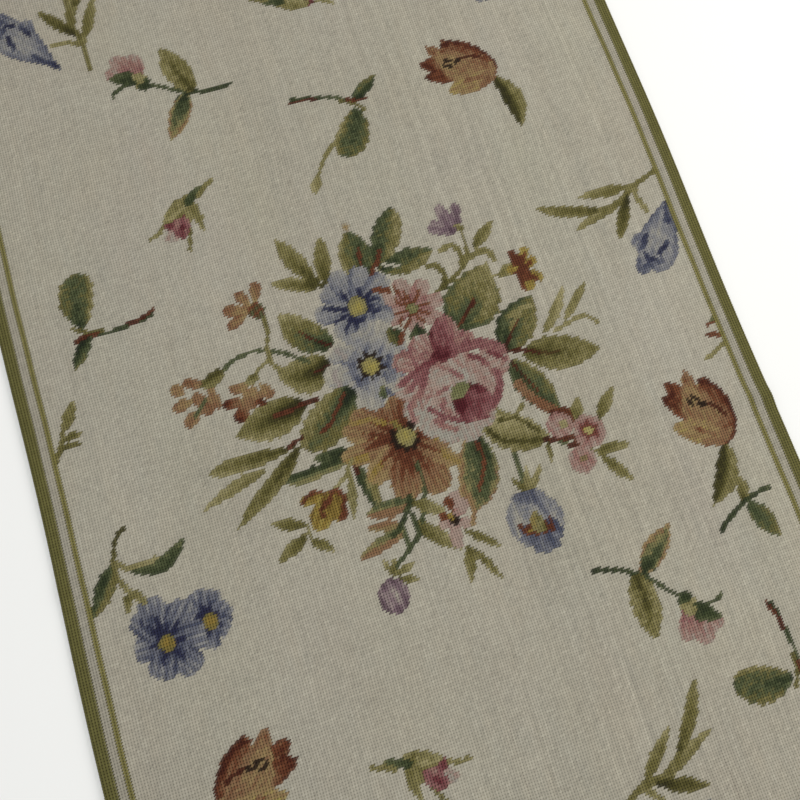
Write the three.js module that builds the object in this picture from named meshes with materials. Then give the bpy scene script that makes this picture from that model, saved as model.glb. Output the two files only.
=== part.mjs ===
import * as THREE from 'three';
import { mergeVertices } from 'three/addons/utils/BufferGeometryUtils.js';

// A floor rug worked in wool needlepoint on square-mesh canvas, lying flat.
// Millimetres, +Z up. The origin is on the floor, under the middle of the rug,
// with +Y along its length.

// One stitch covers one square of the canvas, so the stitch sets the size.
const STITCH = 3.3;
const STITCHES_ACROSS = 274;
const STITCHES_ALONG = 460;
const WIDTH = STITCHES_ACROSS * STITCH;
const LENGTH = STITCHES_ALONG * STITCH;

// Canvas, wool on both faces and the turned edge, pressed flat.
const THICKNESS = 5;

// The edge is turned under and rounded. height is a share of the thickness at
// that place, and inset is how far the side lies inside the outline there.
const EDGE_PROFILE = [
  { height: 0.0, inset: 1.2 },
  { height: 0.3, inset: 0.1 },
  { height: 0.6, inset: 0.0 },
  { height: 0.86, inset: 0.7 },
  { height: 1.0, inset: 2.2 },
];

// The corners are turned too, so each is a little blunt.
const CORNER_BLUNTING = 2.5;

// The sides and ends were never quite straight: each bows inwards by this much.
const SIDE_BOW = 2.6;
const SIDE_BOWS = 3;
const END_BOW = 1.8;
const END_BOWS = 2;

// A storage fold left one low ridge across the rug, higher towards +X. Its line
// leans and bends a little: y = at + lean x + bend x x.
const FOLD = {
  at: -70,
  lean: -0.0302,
  bend: -0.0002275,
  height: 1.0,
  extraAtRight: 1.4,
  halfWidth: 12,
};

// Soft waves in the top. wave is the length from crest to crest, along the
// direction that turn gives in degrees from +X, and start is its phase.
const WAVES = [
  { height: 0.35, wave: 620, turn: 8, start: 0.6 },
  { height: 0.3, wave: 430, turn: 71, start: 2.1 },
  { height: 0.2, wave: 270, turn: -38, start: 4.0 },
];

// Rows of faces across the rug: wide ones, and narrow ones over the fold.
const COLUMNS = 20;
const ROW_STEP = 60;
const FOLD_ROW_STEP = 12;
const FOLD_ZONE = { from: -150, to: -42 };

const smoothStep = (low, high, value) => {
  const share = Math.min(1, Math.max(0, (value - low) / (high - low)));
  return share * share * (3 - 2 * share);
};

// Evenly spaced places from one end to the other, about step apart.
const evenPlaces = (from, to, step) => {
  const count = Math.max(1, Math.round((to - from) / step));
  return Array.from({ length: count + 1 }, (_, i) => from + ((to - from) * i) / count);
};

const rowPlaces = [
  ...evenPlaces(-LENGTH / 2, FOLD_ZONE.from, ROW_STEP),
  ...evenPlaces(FOLD_ZONE.from, FOLD_ZONE.to, FOLD_ROW_STEP).slice(1),
  ...evenPlaces(FOLD_ZONE.to, LENGTH / 2, ROW_STEP).slice(1),
];

// How far a side bows in at a share of its length, from -1 to 1. It is 0 at
// both ends, so the corners keep the full width.
const bow = (share, depth, bows) => {
  const lobe = Math.sin((bows * Math.PI * (share + 1)) / 2);
  return depth * lobe * lobe;
};

const foldRidge = (x, y) => {
  const line = FOLD.at + FOLD.lean * x + FOLD.bend * x * x;
  const height = FOLD.height + FOLD.extraAtRight * smoothStep(0, WIDTH / 2, x);
  const away = (y - line) / FOLD.halfWidth;
  return height * Math.exp(-away * away);
};

const topHeight = (x, y) => {
  const waves = WAVES.reduce((sum, { height, wave, turn, start }) => {
    const along = x * Math.cos((turn * Math.PI) / 180) + y * Math.sin((turn * Math.PI) / 180);
    return sum + height * Math.sin((2 * Math.PI * along) / wave + start);
  }, 0);
  return THICKNESS + waves + foldRidge(x, y);
};

// The rug starts as a box with a grid on each face, and each grid point then
// moves to its place on the turned edge or the uneven top.
const makeRug = () => {
  const rows = rowPlaces.length - 1;
  const layers = EDGE_PROFILE.length - 1;
  const geometry = new THREE.BoxGeometry(2, 2, 2, COLUMNS, rows, layers);
  geometry.deleteAttribute('normal');
  geometry.deleteAttribute('uv');
  const merged = mergeVertices(geometry);
  const point = merged.attributes.position;
  for (let i = 0; i < point.count; i += 1) {
    const across = point.getX(i);
    const row = Math.round(((point.getY(i) + 1) / 2) * rows);
    const layer = Math.round(((point.getZ(i) + 1) / 2) * layers);
    const y0 = rowPlaces[row];
    const along = y0 / (LENGTH / 2);
    const { height, inset } = EDGE_PROFILE[layer];
    const corner = CORNER_BLUNTING * (Math.abs(across) * Math.abs(along)) ** 40;
    const sideIn = inset + corner + bow(along, SIDE_BOW, SIDE_BOWS);
    const endIn = inset + corner + bow(across, END_BOW, END_BOWS);
    const x = across * (WIDTH / 2 - sideIn);
    const y = y0 * (1 - endIn / (LENGTH / 2));
    point.setXYZ(i, x, y, height * topHeight(x, y));
  }
  merged.computeVertexNormals();
  return merged;
};

const wool = new THREE.MeshStandardMaterial({
  color: new THREE.Color().setStyle('#9c988a'),
  roughness: 0.95,
  metalness: 0,
});

const rug = new THREE.Mesh(makeRug(), wool);
rug.name = 'rug';

const part = new THREE.Group();
part.add(rug);

export default part;
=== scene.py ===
"""A wool needlepoint rug: an ivory ground, a bouquet in the middle, scattered sprigs and an olive border.

It is made as a needleworker makes it. Every square of the canvas is one tent stitch, a chart says which wool
each stitch is worked in, and the flowers on the chart are drawn with a few shapes: blades, petals, stems,
discs and daisies.
"""

import math

import bmesh
import bpy
import numpy as np
from mathutils import Matrix, Vector


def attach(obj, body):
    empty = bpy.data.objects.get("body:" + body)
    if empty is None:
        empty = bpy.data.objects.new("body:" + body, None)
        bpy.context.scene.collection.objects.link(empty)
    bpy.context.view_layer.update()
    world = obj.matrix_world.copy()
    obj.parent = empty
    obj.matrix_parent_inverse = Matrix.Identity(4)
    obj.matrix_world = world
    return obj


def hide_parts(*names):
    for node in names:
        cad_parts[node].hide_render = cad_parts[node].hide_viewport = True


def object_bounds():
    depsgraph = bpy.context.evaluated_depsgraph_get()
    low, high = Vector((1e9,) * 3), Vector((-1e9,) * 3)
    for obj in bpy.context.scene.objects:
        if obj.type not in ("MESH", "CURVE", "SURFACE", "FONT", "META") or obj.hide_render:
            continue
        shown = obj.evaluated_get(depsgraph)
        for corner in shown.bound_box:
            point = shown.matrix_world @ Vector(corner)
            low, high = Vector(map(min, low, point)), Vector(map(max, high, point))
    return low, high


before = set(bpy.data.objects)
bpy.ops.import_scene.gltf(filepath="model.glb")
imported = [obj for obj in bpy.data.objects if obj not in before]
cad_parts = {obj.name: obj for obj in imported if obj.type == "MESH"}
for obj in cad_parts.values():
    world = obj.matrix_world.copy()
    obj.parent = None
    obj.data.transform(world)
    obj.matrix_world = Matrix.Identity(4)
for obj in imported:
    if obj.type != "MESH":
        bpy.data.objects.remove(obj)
cad_low, cad_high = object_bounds()

# The canvas: how many stitches it counts, and how many more roll over the turned edge.
ACROSS = 274
ALONG = 460
ROLL = 2
STITCH = (cad_high.y - cad_low.y) / ALONG
WIDTH = ACROSS * STITCH
LENGTH = ALONG * STITCH

# The cloth at rest, in metres: its thickness, its rounded edge, and the strands on its face. The lifts are
# heights over the canvas, of a strand's back, of the dip between two strands, and of a hole.
THICKNESS = 0.005
EDGE_RADIUS = 0.0019
STRAND_LIFT = 0.00045
DIP_LIFT = -0.00030
HOLE_LIFT = -0.00100

# The sides and ends bow inwards a little, as they do in the solid.
SIDE_BOW, SIDE_BOWS = 0.0026, 3
END_BOW, END_BOWS = 0.0018, 2

# A storage fold left a low ridge across the rug: y = at + lean x + bend x x, as in the solid.
FOLD_AT, FOLD_LEAN, FOLD_BEND = -0.070, -0.0302, -0.2275
FOLD_HEIGHT, FOLD_EXTRA, FOLD_HALF_WIDTH = 0.0010, 0.0014, 0.012

# Soft waves: height, length from crest to crest, direction in degrees from +X, and phase.
WAVES = (
    (0.00035, 0.62, 8, 0.6),
    (0.00030, 0.43, 71, 2.1),
    (0.00020, 0.27, -38, 4.0),
)

# The canvas threads stray from straight lines in long waves: how far, wave length, slant and phase.
STRAY_ACROSS = ((0.0011, 0.37, 3.1, 0.4), (0.0005, 0.11, 9, 0))
STRAY_ALONG = ((0.0012, 0.41, -2.3, 1.7), (0.0005, 0.13, 8, 0))

# The share of half a turn that the rolled edge makes, how much one strand is plumper than another, and how
# deep the canvas lies under the holes.
EDGE_TURN = 0.94
PLUMPNESS = 0.00007
CANVAS_DEPTH = 0.0004

# The stitched ground is made in strips side by side, so that no piece is too big.
GROUND_STRIPS = 4

# The finish is baked in blocks of so many stitches a side, with a gap of so many between them.
BAKE_BLOCK = 23
BAKE_GAP = 3

# The camera looks down at the middle of the rug, a little turned, as the photograph does.
CAMERA_AZIMUTH = -29.3
CAMERA_ELEVATION = 74.84
CAMERA_ROLL = 12.1
CAMERA_DISTANCE = 1.2228
CAMERA_AIM = Vector((-0.75 * STITCH, 0, THICKNESS))
CAMERA_LENS = 44.6

# The wools, as sRGB. Wool takes dye deeply but scatters light, so each looks soft and a little grey.
WOOLS = {
    "ivory": "#a39f92",
    "oatmeal": "#989488",
    "band olive": "#5d5a34",
    "line olive": "#6c673b",
    "olive black": "#2f2d17",
    "olive dark": "#454221",
    "olive": "#5f5a34",
    "olive light": "#78724d",
    "olive pale": "#918a66",
    "green black": "#1f261a",
    "green dark": "#323a24",
    "green": "#4b5137",
    "sage": "#646544",
    "sage pale": "#848463",
    "navy": "#23253c",
    "blue": "#414556",
    "blue grey": "#62646e",
    "mist": "#7f7f80",
    "pearl": "#918e85",
    "burgundy": "#45191f",
    "wine": "#603236",
    "rose": "#764f50",
    "pink": "#86665f",
    "blush": "#928077",
    "rust dark": "#411f15",
    "rust": "#5f3825",
    "clay": "#765b43",
    "buff": "#867350",
    "gold dark": "#5c4a22",
    "gold": "#7d6a34",
    "gold pale": "#91864a",
    "plum": "#4b3a44",
    "mauve": "#695860",
    "lilac": "#857878",
    "umber": "#211711",
}

# Shading runs from the first wool, the darkest, to the last.
OLIVES = ["olive black", "olive dark", "olive", "olive light", "olive pale"]
PALE_OLIVES = ["olive", "olive light", "olive pale", "ivory"]
DEEP_OLIVES = ["olive black", "olive dark", "olive", "olive light"]
GREENS = ["green black", "green dark", "green", "sage", "olive light"]
MIXED_GREENS = ["green black", "green dark", "green", "olive", "olive light", "olive pale"]
TURNING_GREENS = ["green black", "green dark", "green", "olive light", "clay", "buff"]
BLUES = ["navy", "blue", "blue grey", "mist", "pearl"]
PALE_BLUES = ["blue", "blue grey", "mist", "pearl", "ivory"]
ROSES = ["burgundy", "wine", "rose", "pink", "blush", "pearl"]
PINKS = ["wine", "rose", "pink", "blush", "blush"]
RUSTS = ["rust dark", "rust", "clay", "buff"]
AUTUMN = ["rust dark", "rust", "gold dark", "gold", "gold pale"]
RUSTY_GOLDS = ["rust dark", "rust", "clay", "buff", "gold pale"]
PLUMS = ["plum", "mauve", "lilac", "ivory"]
VEIN = ["umber", "rust dark", "rust"]
HEARTS = ["olive dark", "olive", "gold", "gold pale"]
EYES = ["olive", "olive light", "gold pale"]

# The parts of the stitching. Each is a piece of the rug, and the ground is several.
GROUND, BOUQUET, SPRIGS, LINE, GUARD, BAND = range(6)

# The border, from the edge inwards, in stitches.
BAND_STITCHES = 5
GUARD_STITCHES = 3
LINE_STITCHES = 2

# The bouquet is worked a little left of the rug's middle.
BOUQUET_MIDDLE = (-0.75, 0)

# The chart's rows and columns, with the stitches that roll over the edge, and how far each stitch lies from
# the rug's middle.
SHAPE = (ALONG + 2 * ROLL, ACROSS + 2 * ROLL)
STITCH_X, STITCH_Y = np.meshgrid(
    np.arange(SHAPE[1]) + 0.5 - SHAPE[1] / 2, np.arange(SHAPE[0]) + 0.5 - SHAPE[0] / 2
)

random = np.random.default_rng(7)


def linear(code):
    """The linear colour of an sRGB hex value."""
    parts = [int(code[i:i + 2], 16) / 255 for i in (1, 3, 5)]
    return tuple(c / 12.92 if c <= 0.04045 else ((c + 0.055) / 1.055) ** 2.4 for c in parts) + (1.0,)


def smooth_noise(rows, columns):
    """Noise over the chart that swells and fades over that many stitches each way."""
    seeds = random.normal(size=(SHAPE[0] // rows + 3, SHAPE[1] // columns + 3))
    down = np.arange(SHAPE[0]) / rows
    over = np.arange(SHAPE[1]) / columns
    tall = np.array([np.interp(down, np.arange(len(column)), column) for column in seeds.T])
    return np.array([np.interp(over, np.arange(len(row)), row) for row in tall.T])


# A stitcher blends two wools by letting stitches of one run up into the other.
HATCH = 0.035 * random.normal(size=SHAPE) + 0.055 * smooth_noise(3, 1) + 0.025 * smooth_noise(1, 3)

# How many stitches beyond a shape are looked at when it is drawn.
MARGIN = 2.0

# A blade: how fast the teeth of its edge follow each other, and its least half width, in stitches.
TOOTH_TURN = 1.5
LEAST_HALF = 0.15

# A leaf: how toothed it is, how softly its halves meet, the darkened width along its spine, and where its rim
# starts and how wide it is, as shares of its half width. Its side ribs lie so many stitches apart, slant, and
# wobble with the hatching.
LEAF_TEETH = 0.05
SPINE_BLEND = 0.6
SPINE_SHARE, SPINE_LEAST = 0.16, 0.8
RIM_START, RIM_WIDTH = 0.62, 0.3
RIB_PITCH, RIB_SLANT, RIB_WOBBLE = 5.3, 1.6, 22

# How fast a petal's streaks follow each other across it, and how many steps a stem has from one of its
# points to the next.
STREAK_TURN = 2.3
STEM_STEPS = 24


class Chart:
    """The pattern in stitches from the rug's middle: each stitch's colour, and the part it belongs to."""

    def __init__(self):
        self.colour = np.full(SHAPE + (3,), linear(WOOLS["ivory"])[:3])
        self.part = np.full(SHAPE, GROUND)
        self.now = GROUND
        self.place()

    def place(self, spot=BOUQUET_MIDDLE, turn=0, flip=1):
        """What is drawn next is drawn about this spot, turned, and mirrored where flip is -1."""
        self.spot, self.turn, self.flip = np.array(spot, float), math.radians(turn), flip

    def at(self, point):
        """Where a point of the motif lies on the rug."""
        x, y = point[0] * self.flip, point[1]
        c, s = math.cos(self.turn), math.sin(self.turn)
        return self.spot + np.array([c * x - s * y, s * x + c * y])

    def near(self, points, reach):
        """The window of stitches within reach of the points, and where its stitches lie."""
        middle = np.array(SHAPE[::-1]) / 2
        low = np.floor(np.min(points, axis=0) - reach + middle).astype(int).clip(0)
        high = np.ceil(np.max(points, axis=0) + reach + middle).astype(int).clip(0)
        window = (slice(low[1], high[1]), slice(low[0], high[0]))
        return window, STITCH_X[window], STITCH_Y[window]

    def work(self, window, inside, tone, wools):
        """Works those stitches, in the first wool where tone is 0 and the last where it is 1. Between two
        wools lies a needleful of one strand of each."""
        ramp = np.array([linear(WOOLS[name])[:3] for name in wools])
        last = len(ramp) - 1
        step = (np.round((tone + HATCH[window]) * last * 2) / 2).clip(0, last)
        lower = np.floor(step).astype(int)
        blend = (step - lower)[..., None]
        mixed = ramp[lower] * (1 - blend) + ramp[np.minimum(lower + 1, last)] * blend
        self.colour[window][inside] = mixed[inside]
        self.part[window][inside] = self.now

    def blade(self, base, tip, width, belly=0.45, point=0.85, bend=0.0, teeth=0.0):
        """A leaf or petal shape. belly is where it is widest, and point is 1 for a pointed tip and 0.5 for a
        round one. Gives the window, the stitches inside, how far along each lies from 0 to 1, how far aside
        from -1 to 1, left to right, and the half width there."""
        base, tip = self.at(base), self.at(tip)
        length = np.hypot(*(tip - base))
        ahead = (tip - base) / length
        window, x, y = self.near([base, tip], width / 2 + abs(bend) + MARGIN)
        along = ((x - base[0]) * ahead[0] + (y - base[1]) * ahead[1]) / length
        share = along.clip(0.001, 0.999)
        aside = self.flip * ((x - base[0]) * ahead[1] - (y - base[1]) * ahead[0])
        aside = aside - 4 * bend * share * (1 - share)
        rise, fall = 2 * point * belly, 2 * point * (1 - belly)
        half = width / 2 * (share / belly) ** rise * ((1 - share) / (1 - belly)) ** fall
        half = half * (1 + teeth * np.sin(along * length * TOOTH_TURN)) + LEAST_HALF
        inside = (along > 0) & (along < 1) & (np.abs(aside) < half)
        return window, inside, along, aside / half, half

    def leaf(self, base, tip, width, wools=OLIVES, left=0.6, right=0.6, fade=0.2, spine=0.2, vein=0.0,
             edges=(0, 0), ribs=0.05, **shape):
        """A leaf: the tones left and right of its spine, how much they lighten towards the tip, how much its
        spine darkens them, and its left and right edge. vein is how far up a rust vein runs."""
        shape.setdefault("teeth", LEAF_TEETH)
        window, inside, along, aside, half = self.blade(base, tip, width, **shape)
        out = np.abs(aside)
        over = (aside / SPINE_BLEND + 0.5).clip(0, 1)
        tone = left + (right - left) * over + fade * (along - 0.5)
        spine_width = SPINE_SHARE * width + SPINE_LEAST
        tone = tone - spine * (1.1 - along) * np.exp(-((aside * half / spine_width) ** 2))
        rim = ((out - RIM_START) / RIM_WIDTH).clip(0, 1)
        tone = tone + rim * np.where(aside < 0, edges[0], edges[1])
        length = np.hypot(tip[0] - base[0], tip[1] - base[1])
        up = along * length - out * half * RIB_SLANT + RIB_WOBBLE * HATCH[window]
        tone = tone + ribs * np.sin(2 * math.pi * up / RIB_PITCH)
        self.work(window, inside, tone, wools)
        on_vein = inside & (along < vein) & (np.abs(aside * half) < 0.35 + 0.6 * (vein - along))
        self.work(window, on_vein, 0.25 + 0.9 * along, VEIN)

    def petal(self, base, tip, width, wools, start=0.2, end=0.8, left=0.0, right=0.0, rim=0.0, streak=0.06,
              belly=0.62, point=0.58, **shape):
        """A petal: its tone from its base to its tip, with more or less at its left and right edge and at its
        rim, and how strong its streaks are."""
        window, inside, along, aside, half = self.blade(base, tip, width, belly, point, **shape)
        tone = start + (end - start) * along
        tone = tone + left * (-aside).clip(0, 1) ** 2 + right * aside.clip(0, 1) ** 2
        tone = tone + rim * np.maximum(np.abs(aside) ** 3, (2.5 * along - 1.5).clip(0, 1))
        phase = 5 * (base[0] + tip[1])
        tone = tone + streak * np.sin(STREAK_TURN * aside * half + phase + along)
        self.work(window, inside, tone, wools)

    def stem(self, points, width=1.5, wools=DEEP_OLIVES, start=0.4, end=0.6):
        """A line of stitches along a smooth curve through the points."""
        knots = [self.at(p) for p in points]
        knots = np.array([2 * knots[0] - knots[1], *knots, 2 * knots[-1] - knots[-2]])
        t = np.linspace(0, 1, STEM_STEPS)[:, None]
        curve = np.concatenate([
            0.5 * (
                2 * b + (c - a) * t + (2 * a - 5 * b + 4 * c - d) * t ** 2 + (3 * b - a - 3 * c + d) * t ** 3
            )
            for a, b, c, d in zip(knots, knots[1:], knots[2:], knots[3:])
        ])
        window, x, y = self.near(curve, width + MARGIN)
        gaps = np.hypot(x[..., None] - curve[:, 0], y[..., None] - curve[:, 1])
        along = gaps.argmin(axis=-1) / len(curve)
        self.work(window, gaps.min(axis=-1) < width / 2, start + (end - start) * along, wools)

    def disc(self, centre, reach, wools, start=0.3, end=0.8, tall=1.0, lean=(0, 0), streak=0.0):
        """A round patch: its tone at the middle and at the rim, how tall it is for its width, how much it
        lightens towards +X and +Y, and how strong its streaks are."""
        centre = self.at(centre)
        window, x, y = self.near([centre], reach * max(1, tall) + MARGIN)
        x, y = (x - centre[0]) / reach, (y - centre[1]) / reach / tall
        out = np.hypot(x, y)
        tone = start + (end - start) * out ** 1.5 + lean[0] * x * self.flip + lean[1] * y
        self.work(window, out < 1, tone + streak * np.sin(9 * x + 3 * y), wools)

    def rays(self, centre, tips, width, wools, start=0.3, end=0.7):
        """Short dark strokes that run out from a flower's heart."""
        for tip in tips:
            window, inside, along, *_ = self.blade(centre, tip, width, belly=0.35)
            self.work(window, inside, start + (end - start) * along, wools)

    def flower(self, centre, tips, width, wools, **tones):
        """An open flower with a petal to each tip, each overlapping the last."""
        for tip in tips:
            self.petal(centre, tip, width, wools, belly=0.68, point=0.5, **tones)


def bouquet_leaves(chart):
    """The leaves round the bouquet, drawn before the flowers that cover their bases."""
    # The three slim leaves at the upper left, on their stalk.
    chart.leaf((-16, 53.5), (-27, 75.5), 7.4, left=0.64, right=0.7, spine=0.4, bend=-0.3, belly=0.52)
    chart.leaf((-13.7, 51.5), (-9.8, 71.5), 6.4, left=0.7, right=0.64, spine=0.35, belly=0.5)
    chart.leaf((-16.5, 52), (-33.5, 58.3), 5.8, left=0.72, right=0.75, spine=0.45, bend=0.4, belly=0.48)
    chart.stem([(-19, 55), (-16, 52.5), (-13.5, 50)], 2.4, start=0.3, end=0.2)
    # The three broad ones at the top.
    chart.leaf((2, 48), (0.7, 71), 13.6, MIXED_GREENS, left=0.6, right=0.4, fade=0, spine=0.2,
               edges=(0.25, 0), ribs=0.08)
    chart.leaf((7.5, 50.5), (21, 75.5), 11, MIXED_GREENS, left=0.35, right=0.75, fade=0.15, edges=(-0.1, 0),
               ribs=0.1, belly=0.6)
    chart.leaf((8.5, 50.5), (30.5, 54.3), 10, MIXED_GREENS, left=0.35, right=0.68, fade=0.3, ribs=0.09,
               belly=0.52)
    chart.stem([(10, 53.5), (13, 52.5), (16, 51.2)], 1.2, ["ivory"])
    chart.stem([(1.8, 54), (2.4, 58), (3.3, 62)], 1.5, VEIN, 0.7, 0.8)
    chart.stem([(4.4, 49.3), (6, 52.5), (8.6, 55.2), (10.9, 59)], 1.9, VEIN, 0.8, 0.8)
    chart.disc((0.8, 72.4), 2.4, ["buff", "oatmeal", "ivory"], 0.1, 0.75, tall=1.2)
    # The left side.
    chart.leaf((-18, 27.5), (-34.5, 45.5), 12.4, MIXED_GREENS, left=0.58, right=0.68, fade=0.6, spine=0.3,
               vein=0.6, bend=-2, point=0.7)
    chart.leaf((-21.5, 21), (-41.5, 22.5), 14.4, OLIVES, left=0.75, right=0.7, fade=0.3, spine=0.9, vein=0.35,
               bend=-2.6, belly=0.42, point=0.62)
    chart.leaf((-34, 9), (-62, 4.3), 14, OLIVES, left=0.78, right=0.66, fade=0.3, spine=1.0)
    chart.stem([(-30, 9), (-36, 8.8), (-42, 8), (-47, 8)], 1.8, VEIN, 0.5, 0.8)
    chart.leaf((-15, 10.5), (-39, -8), 16, MIXED_GREENS, left=0.62, right=0.75, fade=0.1, spine=0.75,
               bend=-0.8, belly=0.55, point=0.6)
    chart.stem([(-20, 8), (-23.3, 3.4), (-27.8, -1.6), (-31.5, -3.5)], 1.5, VEIN, 0.7, 0.8)
    chart.leaf((-42, -5.5), (-75, -6.5), 6.2, OLIVES, left=0.72, right=0.6, fade=0.35, spine=0.35, belly=0.62)
    chart.leaf((-55, -10.8), (-80.5, -18.6), 4.4, PALE_OLIVES, left=0.3, right=0.4, fade=0.5, spine=0,
               bend=0.8)
    chart.leaf((-40.5, -6), (-70, -28.6), 6.2, OLIVES, left=0.68, right=0.62, spine=0.45, bend=-0.4)
    chart.stem([(-38.5, -3.2), (-42.4, -4.1), (-45, -5.3)], 1.5, VEIN, 0.5, 0.7)
    # The right side.
    chart.leaf((29, 21.3), (49.3, 43.5), 21.3, MIXED_GREENS, left=0.74, right=0.78, fade=0.3, spine=0.4,
               edges=(-0.3, -0.2), vein=0.5, bend=1.6, belly=0.4, point=0.88, ribs=0.08)
    for points in (
        ((29.5, 23), (29.8, 27), (31, 31)), ((31, 22.5), (34, 26), (36, 30.5)),
        ((31, 20.5), (37, 19.8), (42, 19.5)), ((33, 22), (38, 24.5), (42, 28.5)),
    ):
        chart.stem(points, 1.7, MIXED_GREENS, 0.2, 0.5)
    chart.stem([(30, 21.5), (34, 24.5), (39, 29)], 1.3, VEIN, 0.8, 0.5)
    chart.leaf((44, 8), (61.5, 25.5), 14.5, MIXED_GREENS, left=0.45, right=0.64, fade=0.2, spine=0.4,
               edges=(-0.3, 0), vein=0.55, point=0.72, ribs=0.08)
    chart.stem([(50.5, 20), (55, 21.5), (59.5, 22.3)], 2.2, OLIVES, 0.65, 0.85)
    chart.stem([(49, 15), (52, 18), (55, 19.5)], 1.7, OLIVES, 0.6, 0.75)
    chart.leaf((50, 4), (80, -2.3), 13.8, OLIVES, left=0.6, right=0.66, fade=0.15, spine=0.3, ribs=0.1)
    chart.stem([(45, 6.8), (51, 5.4), (57, 3), (64, 1)], 1.7, ["umber", "rust dark", "olive dark"], 0.3, 0.9)
    chart.leaf((44.5, 3), (57.5, -22), 12, MIXED_GREENS, left=0.5, right=0.26, fade=-0.1, spine=0.1,
               edges=(0.2, 0), vein=0.6, bend=0.5)
    chart.stem([(45, -7), (47.3, -12), (51, -16.5), (55, -21)],
               4.0, ["rust dark", "rust", "clay", "olive"], 0.6, 0.5)
    chart.leaf((26, -18), (50, -30.5), 14, OLIVES, left=0.85, right=0.62, fade=-0.3, spine=0)
    chart.stem([(28, -20), (32, -25.5), (39, -28), (47, -29.5)], 1.8, OLIVES, 0.2, 0.3)
    chart.stem([(33, -18), (40, -19), (46, -26)], 1.5, OLIVES, 0.3, 0.3)
    chart.leaf((22.5, -19.5), (14, -47.5), 14.8, TURNING_GREENS, left=0.3, right=0.45, fade=0.35, spine=0.1,
               edges=(0.35, 0.6), bend=-1.8, belly=0.55, point=0.55)
    chart.stem([(22.3, -22.5), (23.2, -30), (21, -36.3), (18, -41)], 1.5, VEIN, 0.8, 1.0)
    # The dark slim leaves that hang at the lower left.
    chart.leaf((-22, -14.2), (-37.3, -12.6), 5, GREENS, left=0.3, right=0.35, fade=0.6, point=0.6)
    chart.leaf((-24.5, -16.6), (-49, -17.5), 4.8, GREENS, left=0.85, right=0.2, fade=0.1, spine=0, belly=0.6,
               point=0.45)
    chart.leaf((-23.5, -17), (-19.3, -38), 4.2, GREENS, left=0.45, right=0.25, fade=0.1, spine=0)
    chart.stem([(-23.3, -17.5), (-23, -22)], 2, VEIN, 0.5, 0.5)
    chart.leaf((-25.5, -21), (-29, -38.5), 3.4, PALE_OLIVES, left=0.2, right=0.3, spine=0)
    chart.leaf((-20, -23), (-17.5, -38.5), 3.2, PALE_OLIVES, left=0.1, right=0.3, spine=0)


def brown_clusters(chart):
    """The two brown flower clusters on their arched stems, and the single one above them."""
    chart.stem([(-66, 28), (-61, 30), (-56, 33), (-48, 34.5), (-41, 32.5), (-35, 29), (-29, 24)], 1.7, GREENS,
               0.5, 0.4)
    chart.stem([(-51, 24.5), (-47, 27.5), (-42, 29.5)], 1.4, OLIVES, 0.7, 0.7)
    chart.stem([(-40.5, 47), (-40.5, 40), (-42, 34), (-42, 28), (-39, 23)], 1.8, OLIVES, 0.5, 0.7)
    for base, tip, width, start, end in (
        ((-76, 25.5), (-80.8, 28.8), 4.4, 0.9, 0.6), ((-73.5, 22), (-82, 21), 4.0, 1.0, 0.6),
        ((-72.5, 17.7), (-79, 13.2), 4.6, 0.8, 0.6), ((-68, 27), (-76, 29.6), 3.8, 0.8, 0.5),
        ((-73, 25), (-69, 15.2), 5.2, 0.75, 0.5), ((-67.5, 27), (-65.7, 16.5), 3.6, 0.9, 0.5),
    ):
        chart.petal(base, tip, width, RUSTS, start, end + 0.1, rim=-0.06, point=0.5)
    chart.stem([(-70, 21), (-72, 19), (-75, 16)], 1.2, GREENS, 0.5, 0.5)
    chart.leaf((-60, 30.5), (-70, 26), 5.4, OLIVES, left=0.65, right=0.35)
    for base, tip, width, start, end in (
        ((-53, 22.3), (-60.5, 22.3), 3.6, 0.9, 0.6), ((-55.5, 17.3), (-64, 17), 3.8, 1.0, 0.0),
        ((-55, 16), (-60, 9.5), 5.0, 0.9, 0.0), ((-54.5, 22.5), (-54, 13), 4.4, 0.95, 0.6),
        ((-52, 22), (-50.5, 14), 3.4, 1.0, 0.6), ((-49, 21.5), (-45.7, 15), 4.2, 1.0, 0.6),
        ((-52.5, 15.5), (-48.5, 13.5), 2.8, 0.3, 0.1),
    ):
        chart.petal(base, tip, width, RUSTS, start, end, rim=-0.08, point=0.5)
    chart.leaf((-48, 25), (-54, 23), 3.4, OLIVES, left=0.8, right=0.6)
    for base, tip, width in (
        ((-42, 52), (-38.8, 61.3), 4.2), ((-43.5, 52), (-47.5, 59), 4.4), ((-44, 50), (-54, 53.3), 5),
        ((-46, 49), (-54.3, 46.3), 3.6),
    ):
        chart.petal(base, tip, width, RUSTS, 0.95, 0.7, rim=-0.25, streak=0.1)
    chart.disc((-42, 49.5), 3.4, ["green dark", "rust", "green"], 0.6, 0.6, streak=0.4)


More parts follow.
